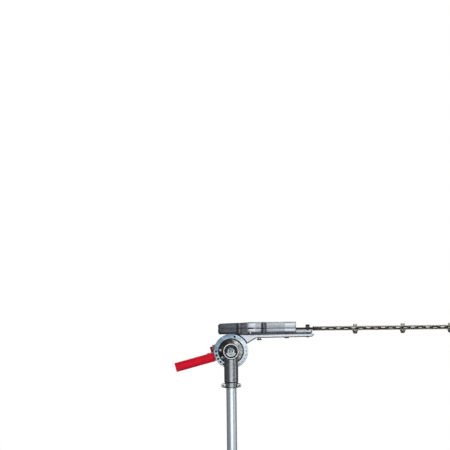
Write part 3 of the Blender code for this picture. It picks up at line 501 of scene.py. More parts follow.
# Blued zinc, painted dark towards the top and light towards the bottom: painted shade.
BLUED_SHADED = make_material(
    "blued_zinc_painted_shade", (0.05, 0.085, 0.11), (0.5, 0.57, 0.6), (0.18, 0.34), 1, 5, (1, 1, 1), 0.4, 0.01,
    painted_shade=((0.2, 0, -0.98), -5, 3),
)
BLACK = make_material(
    "black_oxide", (0.012, 0.012, 0.014), (0.035, 0.034, 0.034), (0.3, 0.5), 0.7, 4, (1, 1, 1), 0.5, 0.015,
    worn=(0.22, 0.2, 0.18),
)
SHADE = make_material(
    "dark_recess", (0.006, 0.007, 0.009), (0.02, 0.021, 0.024), (0.5, 0.7), 0.2, 3, (1, 1, 1), 0.6, 0.03,
)
BLADE = make_material(
    "blade_steel", (0.018, 0.016, 0.014), (0.07, 0.06, 0.048), (0.26, 0.45), 0.95, 12, (3, 1, 1), 0.5, 0.012,
    worn=(0.13, 0.12, 0.1),
)
GROUND = make_material(
    "ground_edge", (0.62, 0.61, 0.57), (0.82, 0.81, 0.78), (0.2, 0.34), 1, 3, (1, 6, 1), 0.2, 0.008,
)
BAR_STEEL = make_material(
    "guide_bar_steel", (0.42, 0.37, 0.28), (0.62, 0.57, 0.46), (0.28, 0.45), 1, 14, (4, 1, 1), 0.5, 0.012,
    worn=(0.75, 0.72, 0.64),
)
BRONZE = make_material("bush_bronze", (0.4, 0.26, 0.1), (0.58, 0.4, 0.18), (0.3, 0.45), 1, 4, grain=0.3)
BRASS = make_material(
    "brass", (0.6, 0.57, 0.48), (0.74, 0.72, 0.66), (0.15, 0.3), 1, 3, grain=0.3, bump=0.006,
)
# Black painted shade for the upper part of the bearing's shield.
SHIELD_SHADE = make_material("shield_painted_shade", (0.012, 0.012, 0.013), (0.03, 0.03, 0.032), (0.5, 0.7), 0, 2, grain=0.3)
NYLON = make_material("nylon", (0.05, 0.05, 0.052), (0.09, 0.09, 0.092), (0.4, 0.55), 0, 4, grain=0.4)
RED = make_material(
    "grip_red", (0.46, 0.001, 0.012), (0.58, 0.002, 0.02), (0.4, 0.55), 0, 16, (1, 1, 1), 0.35, 0.03,
    gloss=0.15,
)
DARK_RED = make_material(
    "lever_red", (0.27, 0.001, 0.006), (0.38, 0.002, 0.012), (0.3, 0.45), 0, 8, (1, 1, 1), 0.35, 0.02,
    gloss=0.15,
)


# Pole


def make_pole():
    tube = sleeve(10.2, POLE_R, -700, -45, ALUMINIUM, segments=128, soft=0.4)
    piece("pole_tube_fine", tube, "neck", ["pole_tube"])
    shaft = turned(
        [(0, -712), (3.7, -712, 0.3), (4, -711.4), (4, -696), (3.3, -695), (3.3, -110), (0, -110)],
        STEEL, segments=96, teeth=6, depth=0.6,
    )
    journal = turned(
        [(0, -112), (4, -112), (4, -42), (6, -40), (6, -7.7, 0.4), (0, -7.7)], STEEL, segments=48,
    )
    piece("drive_shaft_fine", add(shaft, journal), "drive_shaft", ["drive_shaft"])


# Neck


NECK_R = 16.5
NECK_LOW = -86
CAP_TOP = -74.2
SLIT_TOP = -72.2
CLAMP_Z = -80
CLAMP_X = 18.5
PLATE_SCREWS_R = 25
PLATE_SCREW_ANGLES = (6, 174, 215, 325)


def around(radius, angle, y=0):
    """Point on a circle about the tilt axis."""
    return (radius * cos(radians(angle)), y, radius * sin(radians(angle)))


def clamp_ears(near, far, material):
    """Web across the tube with a round ear at each clamp bolt."""
    web = block((-CLAMP_X, near, CLAMP_Z - 3.6), (CLAMP_X, far, CLAMP_Z + 3.6), material)
    ears = [rod(4.9, near, far, material, "Y", 32, (side * CLAMP_X, 0, CLAMP_Z)) for side in SIDES]
    return [web, *ears]


def make_neck():
    barrel = turned(
        [(0, NECK_LOW), (NECK_R, NECK_LOW, 0.8), (NECK_R, -34.5), (16, -33), (16, 0), (0, 0)],
        CAST_DARK, segments=96,
    )
    boss = turned(
        [(0, -27), (18, -27), (18, 0, 2), (20, 3.5, 2), (27.8, 9.3, 1), (27.8, 16.7, 0.5), (19.5, 16.7),
         (19.5, 37.8), (0, 37.8)], CAST_DARK, "Y", 96,
    )
    neck = cast([barrel, boss, *clamp_ears(0.6, 9, CAST_DARK)], 0.7)
    facing = block((-30, -40, -30), (30, -26, 30), CAST_BRIGHT)
    bore = turned(
        [(0, -40), (16.2, -40), (16.2, -26.1), (BORE_R, -23.6), (BORE_R, 40), (0, 40)], SHADE, "Y", 96,
    )
    socket = rod(TUBE_BORE_R, -90, -2, CAST_DARK, segments=96)
    front = block((-30, -30, -90), (30, 0, SLIT_TOP), CAST_DARK)
    slit = block((-30, -1, CAP_TOP), (30, 5, SLIT_TOP), SHADE)
    # A dark ring in the slit below the cap: painted shade in the gap.
    slit_shade_ring = sleeve(12.3, 15.6, CAP_TOP + 0.2, -71, SHADE, soft=0)
    screws = [rod(2, 5, 24, SHADE, "Y", 24, around(PLATE_SCREWS_R, angle)) for angle in PLATE_SCREW_ANGLES]
    for angle in PLATE_SCREW_ANGLES:
        screws.append(rod(3.7, 0, 8.9, CAST_DARK, "Y", 32, around(PLATE_SCREWS_R, angle)))
    bolts = [rod(2.8, -2, 12, SHADE, "Y", 24, (side * CLAMP_X, 0, CLAMP_Z)) for side in SIDES]
    cut(neck, facing, bore, socket, front, slit, *screws, *bolts)
    add(neck, cut(slit_shade_ring, block((-30, 0, -80), (30, 30, -60), SHADE)))
    # The cone takes the painted reflection: dark to the upper left, bright to the lower right.
    paint(neck, CAST_CONE_REFLECTION, is_cone)
    piece("neck_housing_fine", neck, "neck", ["neck_housing"])

    cap = turned(
        [(0, NECK_LOW), (NECK_R, NECK_LOW, 0.8), (NECK_R, CAP_TOP, 0.8), (0, CAP_TOP)],
        CAST_DARK, segments=96,
    )
    cap = cast([cap, *clamp_ears(-10, -1, CAST_DARK)], 0.6)
    back = block((-30, -0.6, -90), (30, 30, -70), CAST_DARK)
    holes = [rod(2.8, -12, 2, SHADE, "Y", 24, (side * CLAMP_X, 0, CLAMP_Z)) for side in SIDES]
    cut(cap, back, rod(TUBE_BORE_R, -90, -70, CAST_DARK, segments=96), *holes)
    piece("clamp_cap_fine", cap, "neck", ["clamp_cap"])


def is_cone(at, out):
    """The sloping face behind the round boss, above the barrel."""
    return out.y < -0.3 and 0 < at.y < 10.5 and at.z > -20 and at.xz.length > 18.5


def hex_recess(across, start, end, axis, centre):
    """Cutter for a hexagon socket."""
    u, v = {"X": (centre[1], centre[2]), "Y": (centre[2], centre[0]), "Z": (centre[0], centre[1])}[axis]
    return slab(polygon((u, v), across / sqrt(3), 6), [(start, 0), (end, 0)], SHADE, axis, 1)


def make_neck_screws():
    for name, side, flange in (("clamp_bolt_left", -1, 5.3), ("clamp_bolt_right", 1, 3.8)):
        centre = (side * CLAMP_X, 0, CLAMP_Z)
        head = turned(
            [(0, -15.3), (3.7, -15.3, 0.5), (3.8, -11.9, 0.3), (flange, -11.7, 0.3), (flange, -10.3, 0.3),
             (2.5, -10.3), (2.5, 8, 0.5), (0, 8)], STEEL, "Y", 48, centre,
        )
        cut(head, hex_recess(4, -16, -12.6, "Y", centre))
        piece(f"{name}_fine", head, "neck", [name])
    for number, angle in enumerate(PLATE_SCREW_ANGLES, 1):
        centre = around(PLATE_SCREWS_R, angle)
        screw = turned(
            [(0, 6.1), (2.4, 6.1, 0.8), (3, 7.4, 0.4), (3, 8.7, 0.2), (1.7, 8.7), (1.7, 19.4), (0, 19.4)],
            STEEL, "Y", 40, centre,
        )
        cut(screw, hex_recess(2.2, 5, 7.3, "Y", centre))
        piece(f"plate_screw_{number}_fine", screw, "neck", [f"plate_screw_{number}"])


def make_index_plate():
    """Ring with a hole every 15 degrees over the handle's sweep, and one more near the top."""
    painted_shade_r = 30.5  # painted shade covers the plate's face inside this
    back = PLATE_FRONT + 2.9
    # The zinc is painted darker to the upper left and lighter to the lower right as shade and light.
    ring = turned(
        [(HUB_BORE_R, PLATE_FRONT), (painted_shade_r, PLATE_FRONT), (PLATE_R, PLATE_FRONT, 0.5),
         (PLATE_R, back, 0.3), (HUB_BORE_R, back)], ZINC_SHADED, "Y", 180,
    )
    angles = (75, *range(180, 376, 15))
    holes = [rod(2.75, 14, 24, SHADE, "Y", 32, around(PLATE_HOLES_R, angle)) for angle in angles]
    holes += [rod(2, 5, 24, SHADE, "Y", 20, around(PLATE_SCREWS_R, angle)) for angle in PLATE_SCREW_ANGLES]
    cut(ring, joined(*holes))
    paint(ring, SHADE, lambda at, out: out.y < -0.9 and at.xz.length < painted_shade_r)
    piece("index_plate_fine", ring, "neck", ["index_plate"])


def make_boss_front():
    """Bearing, circlip and shaft end bolt in the neck's round front."""
    shield_r = (8, 13)
    painted_shade_above = -4  # the shield is painted black as shade above this height
    bearing = turned(
        [(6.05, -20.5, 0.3), (shield_r[0], -20.5, 0.15), (shield_r[0], -19.6), (12.9, -20.1),
         (shield_r[1], -20.5, 0.1), (BEARING_R, -20.5, 0.3), (BEARING_R, -12.5, 0.4), (6.05, -12.5, 0.3)],
        STEEL, "Y", 96,
    )
    # Painted shade: the shield is grey cast below the height and black above it.
    paint(bearing, CAST_DARK, lambda at, out: (
        out.y < -0.8 and shield_r[0] < at.xz.length < shield_r[1] and at.z <= painted_shade_above
    ))
    paint(bearing, SHIELD_SHADE, lambda at, out: out.y < -0.8 and shield_r[0] < at.xz.length and at.z > painted_shade_above)
    piece("front_bearing_fine", bearing, "neck", ["front_bearing"])
    ring = arc((0, 0), BEARING_R, 108, 432, 64) + arc((0, 0), 12.5, 432, 108, 64)
    clip = plate([(z, x) for x, z in ring[::-1]], -22, -20.8, BLACK, "Y", soft=0.15, steps=1)
    lugs = [rod(1.7, -22, -20.8, BLACK, "Y", 24, around(12, 90 + side * 17)) for side in SIDES]
    add(clip, *lugs)
    cut(clip, *[rod(0.8, -23, -20, SHADE, "Y", 16, around(11.8, 90 + side * 17)) for side in SIDES])
    piece("front_circlip_fine", clip, "neck", ["front_circlip"])

    # The bolt is painted dark at the top as shade.
    bolt = turned(
        [(0, -26), (3.9, -26, 0.5), (4.25, -25.4), (4.25, -23.4), (7.5, -23.4, 0.4), (7.5, -21.9, 0.3),
         (2.5, -21.9), (2.5, -12.6, 0.4), (0, -12.6)], BLUED_SHADED, "Y", 64,
    )
    holes = []
    for side in SIDES:
        outline = rectangle(-2.4, side * 2.5 - 1.3, 2.4, side * 2.5 + 1.3, 1.2)
        holes.append(slab(outline, [(-27, 0), (-24.2, 0)], SHADE, "Y"))
    cut(bolt, *holes)
    piece("shaft_end_bolt_fine", bolt, "cross_shaft", ["shaft_end_bolt"])


# Head


def make_bracket():
    """Casting on the tilt axis with its arm, gusset, handle lug and lever ears."""
    flange_back = 25
    housing = turned(
        [(0, 20.3), (37.5, 20.3, 0.6), (37.5, flange_back, 1.2), (30.3, 28, 2), (30.3, 88, 1), (0, 88)],
        CAST_GREY, "Y", 96,
    )
    side = [
        (-22, 10, 3), (0, 5, 8), (34, 14.8, 12), (58, 28.8, 8), (64, 30.1, 6), (191, 31.7, 1.5),
        (196, 36.2, 0.8), (195.6, 37.8, 0.5), (191, 39.1, 1), (-10, 39.1, 1), (-22, 31, 2),
    ]
    side = [(z, x, radius) for x, z, radius in side[::-1]]
    arm = plate(side, HEAD_Y - 22, HEAD_Y + 22, CAST_GREY, "Y", soft=1.2)
    handle_parts = [
        block((26, -43.6, -12.5), (40.4, -20.7, 12), CAST_GREY, 1.2),
        block((28.5, -32, 11.3), (39.1, -21.1, 25.5), CAST_GREY, 0.8),
        rod(7, 38, 60, CAST_GREY, "X", 48, (0, -30, -HANDLE_DROP), 1),
    ]
    ear = [(28, -45.6), (46.4, -45.6), (50, -50, 3), (56, -51, 3), (56.8, -45, 3), (51, -41.7), (28, -41.7)]
    for low in (-10.2, 7):
        handle_parts.append(slab(ear, [(low, 0), (low + 3.2, 0)], CAST_GREY))
    to_pivot = TO_WORLD.inverted() @ HANDLE
    for part in handle_parts:
        part.data.transform(to_pivot)
    bracket = cast([housing, arm, *handle_parts], 0.9)

    hub_bore = rod(HUB_BORE_R, 15, 40, STEEL, "Y", 96)
    gear_room = rod(27, 37.8, 95, CAST_GREY, "Y", 96)
    shaft_way = rod(13.3, 10, 45, CAST_GREY, "Z", 64, (0, HEAD_Y, 0))
    tools = [hub_bore, gear_room, shaft_way]
    for x in (REAR_SCREW_X, FRONT_SCREW_X, NOSE_BOLT_X):
        tools.append(rod(BOLT_HOLE_R, 20, 45, SHADE, "Z", 32, (x, HEAD_Y, 0)))
    for x_low, x_high in ((76, 121), (142, 171)):
        for y_side in SIDES:
            near, far = sorted((HEAD_Y + y_side * 3, HEAD_Y + y_side * 18.5))
            tools.append(block((x_low, near, 25), (x_high, far, 36.2), CAST_DARK, 2.5))
    pin_hole = rod(2.6, -60, -10, SHADE, "Y", 32, (PLATE_HOLES_R, 0, 0))
    lever_hole = rod(2.3, -15, 15, SHADE, "Z", 32, (*LEVER_PIVOT, 0))
    for part in (pin_hole, lever_hole):
        part.data.transform(to_pivot)
    # The rebate's cut faces take the near-black cast as painted shade.
    for near, far in ((39, 40.3), (83.7, 85)):
        tools.append(slab(lower_rim(), [(near, 0), (far, 0)], CAST_DEEP_SHADED, "Y"))
    cut(bracket, pin_hole, lever_hole, *tools)
    # Painted shade on the lug behind the plate.
    paint(bracket, CAST_SHADED, lambda at, out: at.x < -22 and at.z > 2 and at.y < 39)
    paint(bracket, SHADE, lambda at, out: at.y < 20.6 and out.y < -0.9 and at.x < 13)
    paint(bracket, SHADE, lambda at, out: (
        at.y > flange_back and out.y < -0.5 and at.x > 10 and at.z > 12 and at.xz.length < PLATE_R + 2.6
    ))
    piece("head_bracket_fine", bracket, "head", ["head_bracket"])

    cap = turned(
        [(0, 83.3), (26.7, 83.3, 0.5), (26.7, 88.3), (29.5, 88.3, 0.5), (28, 91.3, 1.2), (24, 91.3, 0.6),
         (22.5, 89.8, 0.8), (9, 89.8, 0.8), (7.5, 91.3, 0.6), (0, 91.3)], CAST_GREY, "Y", 96,
    )
    piece("bracket_rear_cap_fine", cap, "head", ["bracket_rear_cap"])


def lower_rim():
    """Shallow rebate that follows the arm's lower edge, as a cutter outline."""
    edge = [(30, 13.2), (36, 15.7), (56, 27.5), (61, 29.7), (66, 30.2), (189, 31.7)]
    above = [(x, z + (3 if x < 60 else 1.9)) for x, z in edge]
    below = [(x, z - 4) for x, z in edge]
    return [(z, x) for x, z in above] + [(z, x) for x, z in reversed(below)]


CASE_MIDDLE = (50, HEAD_Y)  # centre of the wide round part over the crank gear
CASE_TAIL = (-6, HEAD_Y)
CASE_END = 153.9
CASE_WALL = 4
CRANK_BORE_R = 9.1
POST_R = 6.5
CASE_LOW = 39.5
CASE_SPLIT = 52
NOSE_END = 192
COVER_SCREWS = [(x, HEAD_Y + side * 37.5) for x in (20, 78) for side in SIDES]
PLUG_PLACE = (46, 0, 42.5)


def case_plan(pulled=0, wall=0):
    """Gearcase plan, counter-clockwise: round tail, wide round middle, taper to a square end."""
    side = 42 - wall
    tail = 24 - wall - pulled
    lean = degrees(asin((side - tail) / (CASE_MIDDLE[0] - CASE_TAIL[0])))
    far = arc(CASE_MIDDLE, side, 77, 90 + lean, 24) + arc(CASE_TAIL, tail, 90 + lean, 270 - lean, 32)
    near = arc(CASE_MIDDLE, side, 270 - lean, 283, 24)
    taper_end = 128
    low = HEAD_Y - 25 + wall
    high = HEAD_Y + 25 - wall
    end = [(taper_end, low, 8), (CASE_END, low, 2), (CASE_END, high, 2), (taper_end, high, 8)]
    return far + near + end


def cavity(low, high):
    """Cutter for the room inside the gearcase, which goes round the screw posts."""
    square_from = 126
    room_end = CASE_END - 24
    plan = []
    for point in case_plan(0, CASE_WALL):
        plan.append(point if point[0] < square_from else (min(point[0], room_end), point[1]))
    room = slab(plan, [(low, 0), (high, 0)], CAST_DARK)
    return cut(room, *screw_posts(POST_R, low - 1, high + 1))


def screw_posts(radius, low, high, soft=0):
    # The posts take the darker cast as painted shade.
    return [rod(radius, low, high, CAST_SHADED, "Z", 48, (x, y, 0), soft) for x, y in COVER_SCREWS]


def case_shell(levels):
    """Lofts the plan through (height, inset, how far the round end is pulled in) levels."""
    sections = []
    for height, amount, pulled in levels:
        section = rounded(inset(case_plan(pulled), amount))
        sections.append([(x, y, height) for x, y in section])
    return lofted(sections, CAST_BRIGHT)


def make_lower_case():
    case = case_shell([
        (CASE_LOW, 3.2, 0), (39.9, 2, 0), (41, 1.2, 0), (44.2, 0.5, 0), (44.7, 0.14, 0), (45.2, 0.06, 0),
        (49.6, 0, 0), (51.4, 0.05, 0), (51.8, 0.15, 0), (CASE_SPLIT, 0.35, 0),
    ])
    nose_levels = [(CASE_LOW, 3.2), (40, 2.7), (42.7, 0), (47, 0), (47.4, 0.4)]
    nose = slab(rectangle(120, HEAD_Y - 22, NOSE_END, HEAD_Y + 22, 3.5), nose_levels, CAST_BRIGHT)
    add(case, nose, *screw_posts(POST_R, 41.5, CASE_SPLIT, 0.6))
    tools = [
        cavity(43, 60),
        block((120, HEAD_Y - 17, 47.4), (160, HEAD_Y + 17, 60), CAST_DARK),
        rod(8, 35, 50, CAST_DARK, "Z", 48, (0, HEAD_Y, 0)),
        rod(CRANK_BORE_R, 40.7, 50, CAST_DARK, "Z", 48, (CRANK_X, HEAD_Y, 0)),
        rod(BOLT_HOLE_R, 30, 60, SHADE, "Z", 32, (NOSE_BOLT_X, HEAD_Y, 0)),
        rod(2, 10, 22.3, SHADE, "Y", 24, PLUG_PLACE),
        rod(2.8, 30, 42.4, SHADE, "Z", 24, (REAR_SCREW_X, HEAD_Y, 0)),
        rod(2.8, 30, 46, SHADE, "Z", 24, (FRONT_SCREW_X, HEAD_Y, 0)),
    ]
    cut(case, *tools, *screw_posts(2.3, 44, 60))
    # Painted shade: the nose's sides and underside beyond x 150 take the darker cast.
    paint(case, CAST_DARK, lambda at, out: at.x > 150 and out.z < 0.5)
    piece("lower_case_fine", case, "head", ["lower_case"])


def make_upper_cover():
    cover = case_shell([
        (52.3, 0.65, 0), (52.5, 0.5, 0), (52.9, 0.42, 0), (60.6, 0, 0), (61.4, 0.05, 0.3), (64.6, 0.3, 4),
        (66.6, 0.6, 5.4), (67.2, 1, 5.8), (67.5, 1.7, 6),
    ])
    add(cover, *screw_posts(POST_R, 52.3, 66, 0.8))
    crown = [(-40, 63.5), (-20, 65), (0, 65.8), (24, 66), (34, 66.8), (44, 67.3), (54, 67.6)]
    above = [*crown, (54, 70), (-40, 70)]
    slope = slab([(z, x) for x, z in above[::-1]], [(0, 0), (120, 0)], CAST_BRIGHT, "Y")
    room = cavity(50, 62.4)
    blade_mouth = block((120, HEAD_Y - 17, 50), (160, HEAD_Y + 17, 54.3), SHADE)
    side_slot = block((40, 10, 51.8), (52.5, 30, 55.1), SHADE)
    crank_seat = rod(CRANK_BORE_R, 55, 64.6, CAST_DARK, "Z", 48, (CRANK_X, HEAD_Y, 0))
    shaft_seat = rod(7.1, 55, 64.6, CAST_DARK, "Z", 48, (0, HEAD_Y, 0))
    tools = [room, blade_mouth, side_slot, crank_seat, shaft_seat]
    for x, y in COVER_SCREWS:
        profile = [(0, 45), (2.3, 45), (2.3, 61), (4.5, 61), (4.5, 70), (0, 70)]
        tools.append(turned(profile, CAST_DARK, "Z", 40, (x, y, 0)))
    cut(cover, slope, *tools)
    cut(cover, *cover_recesses())
    piece("upper_cover_fine", cover, "head", ["upper_cover"])
    for number, (x, y) in enumerate(COVER_SCREWS, 1):
        screw = turned(
            [(0, 44.5), (2, 44.5), (2, 61.3), (4, 61.3), (4, 64.8, 0.5), (0, 64.8)],
            BLACK, "Z", 40, (x, y, 0),
        )
        cut(screw, hex_recess(3.2, 62.6, 66, "Z", (x, y, 0)))
        piece(f"cover_screw_{number}_fine", screw, "head", [f"cover_screw_{number}"])


def cover_recesses():
    """Sunken panels in the cover's top, around the crank's bearing and along the taper."""
    ring = turned([(16, 66.4), (30, 66.4), (30, 69), (16, 69)], CAST_BRIGHT, "Z", 96, (CRANK_X, HEAD_Y, 0))
    panels = [
        block((84, HEAD_Y - 21, 66.4), (122, HEAD_Y - 2, 69), CAST_BRIGHT, 4),
        block((84, HEAD_Y + 2, 66.4), (122, HEAD_Y + 21, 69), CAST_BRIGHT, 4),
    ]
    return [ring, *panels]


def make_case_fittings():
    plug = turned(
        [(0, 17.9), (1.4, 17.9, 0.5), (2.3, 18.7), (2.3, 19.7), (1.7, 19.7), (1.7, 21.9), (0, 21.9)],
        BRASS, "Y", 40, PLUG_PLACE,
    )
    piece("grease_plug_fine", plug, "head", ["grease_plug"])
    place = (REAR_SCREW_X, HEAD_Y, 0)
    rear = turned(
        [(0, 24.8), (6, 24.8, 0.5), (6, 27.4, 0.4), (4, 27.4), (4, 29.5), (2.5, 29.5), (2.5, 42.1),
         (0, 42.1)], BLACK, "Z", 48, place,
    )
    cut(rear, hex_recess(5, 23, 26.5, "Z", place))
    paint(rear, STEEL, lambda at, out: 27.3 < at.z < 29.4)
    piece("arm_screw_rear_fine", rear, "head", ["arm_screw_rear"])
    place = (FRONT_SCREW_X, HEAD_Y, 0)
    front = turned(
        [(0, 28.8), (5, 28.8, 0.8), (6, 30.5), (2.5, 30.5), (2.5, 45.6), (0, 45.6)], BLACK, "Z", 48, place,
    )
    cut(front, hex_recess(4, 27, 29.9, "Z", place))
    piece("arm_screw_front_fine", front, "head", ["arm_screw_front"])


# Cutter bar


PITCH = 35
BAR_START = 193
BAR_END = 676
TANG_END = 205
TOOTH_LEAD = 14  # the toothed part starts this far before the first tooth's middle
GUIDE_BOLTS_X = (293, 405, 517, 629)


def blade_plan(first_tooth, teeth):
    """Yoke, tang, then teeth along both edges, as a counter-clockwise outline of corners."""
    near = [(18, -18, 3), (58, -18, 3), (64, -12, 3), (first_tooth - 17, -12, 2)]
    for number in range(teeth):
        x = first_tooth + number * PITCH
        near += [(x - 11, -15, 3), (x - 5.5, -43, 2.2), (x + 5.5, -43, 2.2), (x + 11, -15, 3)]
    end = first_tooth + (teeth - 1) * PITCH + 11
    near += [(end + 2, -9, 2), (end + 4, -5, 2)]
    corners = near + [(x, -y, radius) for x, y, radius in reversed(near)]
    return [(x, HEAD_Y + y, radius) for x, y, radius in corners]


def ground_plan(first_tooth, teeth, amount):
    """The blade's outline where its outer face begins: only the teeth are ground back."""
    full = rounded(blade_plan(first_tooth, teeth), 3)
    ground = rounded(inset(blade_plan(first_tooth, teeth), amount), 3)
    start = first_tooth - TOOTH_LEAD
    return [new if new[0] > start else old for old, new in zip(full, ground)]


def make_blades():
    for name, first, teeth, shear, outer in (
        ("lower_blade", 200.7, 14, 50.95, 48.35),
        ("upper_blade", 218.2, 13, 51.05, 53.65),
    ):
        full = ground_plan(first, teeth, 0)
        back = ground_plan(first, teeth, 1.9)
        land = shear + (outer - shear) * 0.3
        levels = [(full, shear), (full, land), (back, outer)]
        blade = lofted([[(x, y, z) for x, y in plan] for plan, z in levels], BLADE)
        low, high = sorted((shear, outer))
        slots = [slot_tool(CRANK_X, 14.35, 5.6, low, high)]
        slots += [slot_tool(x, 12.35, 3.4, low, high) for x in (NOSE_BOLT_X, *GUIDE_BOLTS_X)]
        cut(blade, joined(*slots))
        paint(blade, GROUND, lambda at, out: is_ground(at, out, first))
        paint(blade, SHADE, lambda at, out: at.x < TANG_END and abs(out.z) < 0.5)
        piece(f"{name}_fine", blade, name, [name])


def is_ground(at, out, first_tooth):
    """The sloping faces along each tooth, and its upright tip."""
    flat = abs(out.z) >= 0.93
    reach = 17 if abs(out.z) > 0.1 else 37
    return at.x > first_tooth - TOOTH_LEAD and abs(at.y - HEAD_Y) > reach and not flat


def slot_tool(x, half_length, radius, low, high):
    outline = rectangle(x - half_length, HEAD_Y - radius, x + half_length, HEAD_Y + radius, radius * 0.999)
    return slab(outline, [(low - 1, 0), (high + 1, 0)], BLADE, steps=8)


def make_guide_bars():
    for name, low in (("top_guide_bar", 53.75), ("bottom_guide_bar", 46)):
        outline = rectangle(BAR_START, HEAD_Y - 12, BAR_END, HEAD_Y + 12, 5)
        outline[1] = (BAR_END, HEAD_Y - 12, 11.9)
        outline[2] = (BAR_END, HEAD_Y + 12, 11.9)
        bar = plate(outline, low, low + 2.25, BAR_STEEL, soft=0.4, steps=8)
        holes = []
        for x in GUIDE_BOLTS_X:
            holes.append(rod(BOLT_HOLE_R, low - 1, low + 4, SHADE, "Z", 32, (x, HEAD_Y, 0)))
        cut(bar, *holes)
        piece(f"{name}_fine", bar, "head", [name])


def make_bar_bolts():
    nose = (NOSE_BOLT_X, HEAD_Y, 0)
    washer = sleeve(BOLT_HOLE_R, 6.2, 53.95, 55.25, BAR_STEEL, "Z", 48, nose, 0.3)
    piece("nose_washer_fine", washer, "head", ["nose_washer"])
    bolt = turned(
        [(0, 30.1), (3, 30.1, 0.4), (3, 55.55), (4.75, 55.55, 0.3), (4.75, 60.6, 0.6), (0, 60.6)],
        BLACK, "Z", 48, nose,
    )
    cut(bolt, hex_recess(4.4, 57.6, 61.6, "Z", nose))
    piece("nose_bolt_fine", bolt, "head", ["nose_bolt"])
    for number, x in enumerate(GUIDE_BOLTS_X, 1):
        centre = (x, HEAD_Y, 0)
        bolt = turned(
            [(0, 37.7), (3, 37.7, 1.5), (5.2, 39.6, 2), (5.6, 43.1, 0.6), (7, 44.2, 0.4), (7, 45.7, 0.3),
             (3, 45.7), (3, 60.8, 0.5), (0, 60.8)], STEEL, "Z", 48, centre,
        )
        cut(bolt, hex_recess(4, 36, 40, "Z", centre))
        piece(f"guide_bolt_{number}_fine", bolt, "head", [f"guide_bolt_{number}"])
        nut = plate(polygon((x, HEAD_Y), 4.9, 6), 56.3, 60.4, BAR_STEEL, soft=0.35, steps=1)
        cut(nut, rod(BOLT_HOLE_R, 55, 62, SHADE, "Z", 32, centre))
        piece(f"guide_nut_{number}_fine", nut, "head", [f"guide_nut_{number}"])


# Handle and lock


def make_handle():
    centre = (0, -30, -HANDLE_DROP)
    tube = sleeve(7.3, 9.2, HANDLE_START, 131, STEEL, "X", 64, centre, 0.3)
    piece("handle_tube_fine", tube, "head", ["handle_tube"], HANDLE)
    grip = turned(
        [(9.5, HANDLE_START), (10.4, HANDLE_START, 0.4), (10.8, 41.7), (10.8, 135.2), (10, 136, 0.4),
         (3, 136, 0.4), (3, 133), (9.5, 133)], RED, "X", 96, centre,
    )
    piece("handle_grip_fine", grip, "head", ["handle_grip"], HANDLE)
    grip.visible_glossy = False  # keeps its red out of the castings' sheen


def make_lock():
    lever_place = (*LEVER_PIVOT, 0)
    pin = turned([(0, -10), (2, -10, 0.4), (2, 10, 0.4), (0, 10)], STEEL, "Z", 32, lever_place)
    piece("lever_pin_fine", pin, "head", ["lever_pin"], HANDLE)
    spring = coil(LEVER_PIVOT, 3.25, 0.45, 4.15, 6.25, 2.6)
    piece("lock_spring_fine", spring, "head", ["lock_spring"], HANDLE)

    lever = turned([(0, -3.3), (4.5, -3.3, 0.4), (4.5, 3.3, 0.4), (0, 3.3)], DARK_RED, "Z", 48)
    tongue = block((-20.5, -0.8, -5), (-9, 0.8, 5), DARK_RED)
    inner = block((-12.6, -1.7, -6.2), (-6.3, 1.7, 22.7), DARK_RED, 0.5, 0.5)
    web = block((-8, -1.7, -3.3), (8, 1.7, 3.3), DARK_RED)
    outline = [
        (6.3, 1.7, 1), (6.3, -1.7, 1), (25, -6.2, 20), (43, -11.7, 1.5), (43, -8.3, 1.5), (25, -2.8, 20),
    ]
    arm = plate(outline[::-1], -6.2, 6.2, DARK_RED, soft=0.8)
    add(lever, tongue, inner, web, arm)
    cut(lever, block((-24, -3, -2.8), (-14, 3, 2.8), DARK_RED), rod(2.1, -5, 5, DARK_RED, "Z", 32))
    at_pivot = HANDLE @ Matrix.Translation(lever_place)
    piece("lock_lever_fine", lever, "lock_lever", ["lock_lever"], at_pivot)

    pin = turned(
        [(0, -20.2), (1.8, -20.2, 0.4), (2.3, -21), (2.3, -44.3), (4.2, -44.3, 0.3), (4.2, -46, 0.3),
         (2.3, -46), (2.3, -50), (4.2, -50, 0.3), (4.2, -52, 0.5), (0, -52)],
        BLACK, "Y", 48, (PLATE_HOLES_R, 0, 0),
    )
    piece("lock_pin_fine", pin, "lock_pin", ["lock_pin"], HANDLE)


def coil(centre, radius, wire, low, high, turns):
    """Helical spring of round wire."""
    count = 96
    around_wire = 12
    sections = []
    for step in range(count + 1):
        angle = 2 * pi * turns * step / count
        height = low + (high - low) * step / count
        section = []
        for index in range(around_wire):
            turn = 2 * pi * index / around_wire
            reach = radius + wire * cos(turn)
            x = centre[0] + reach * cos(angle)
            y = centre[1] + reach * sin(angle)
            section.append((x, y, height + wire * sin(turn)))
        sections.append(section)
    return lofted(sections, STEEL)


# Nodes kept as the CAD made them, mostly inside the castings


KEPT = {
    "shaft_bush_lower": NYLON, "shaft_bush_upper": NYLON, "drive_bevel": STEEL, "drive_bearing": STEEL,
    "rear_bearing": STEEL, "pivot_nut": STEEL, "cross_shaft": STEEL, "cross_bevel_front": STEEL,
    "cross_bevel_rear": STEEL, "head_bearing": STEEL, "head_shaft_bush": BRONZE, "crank_bush_lower": BRONZE,
    "crank_bush_upper": BRONZE, "head_shaft": STEEL, "crank_gear": STEEL,
}


def finish_kept_nodes():
    for name, material in KEPT.items():
        node = frame["nodes"][name]
        node.data.materials.clear()
        node.data.materials.append(material)


# Studio


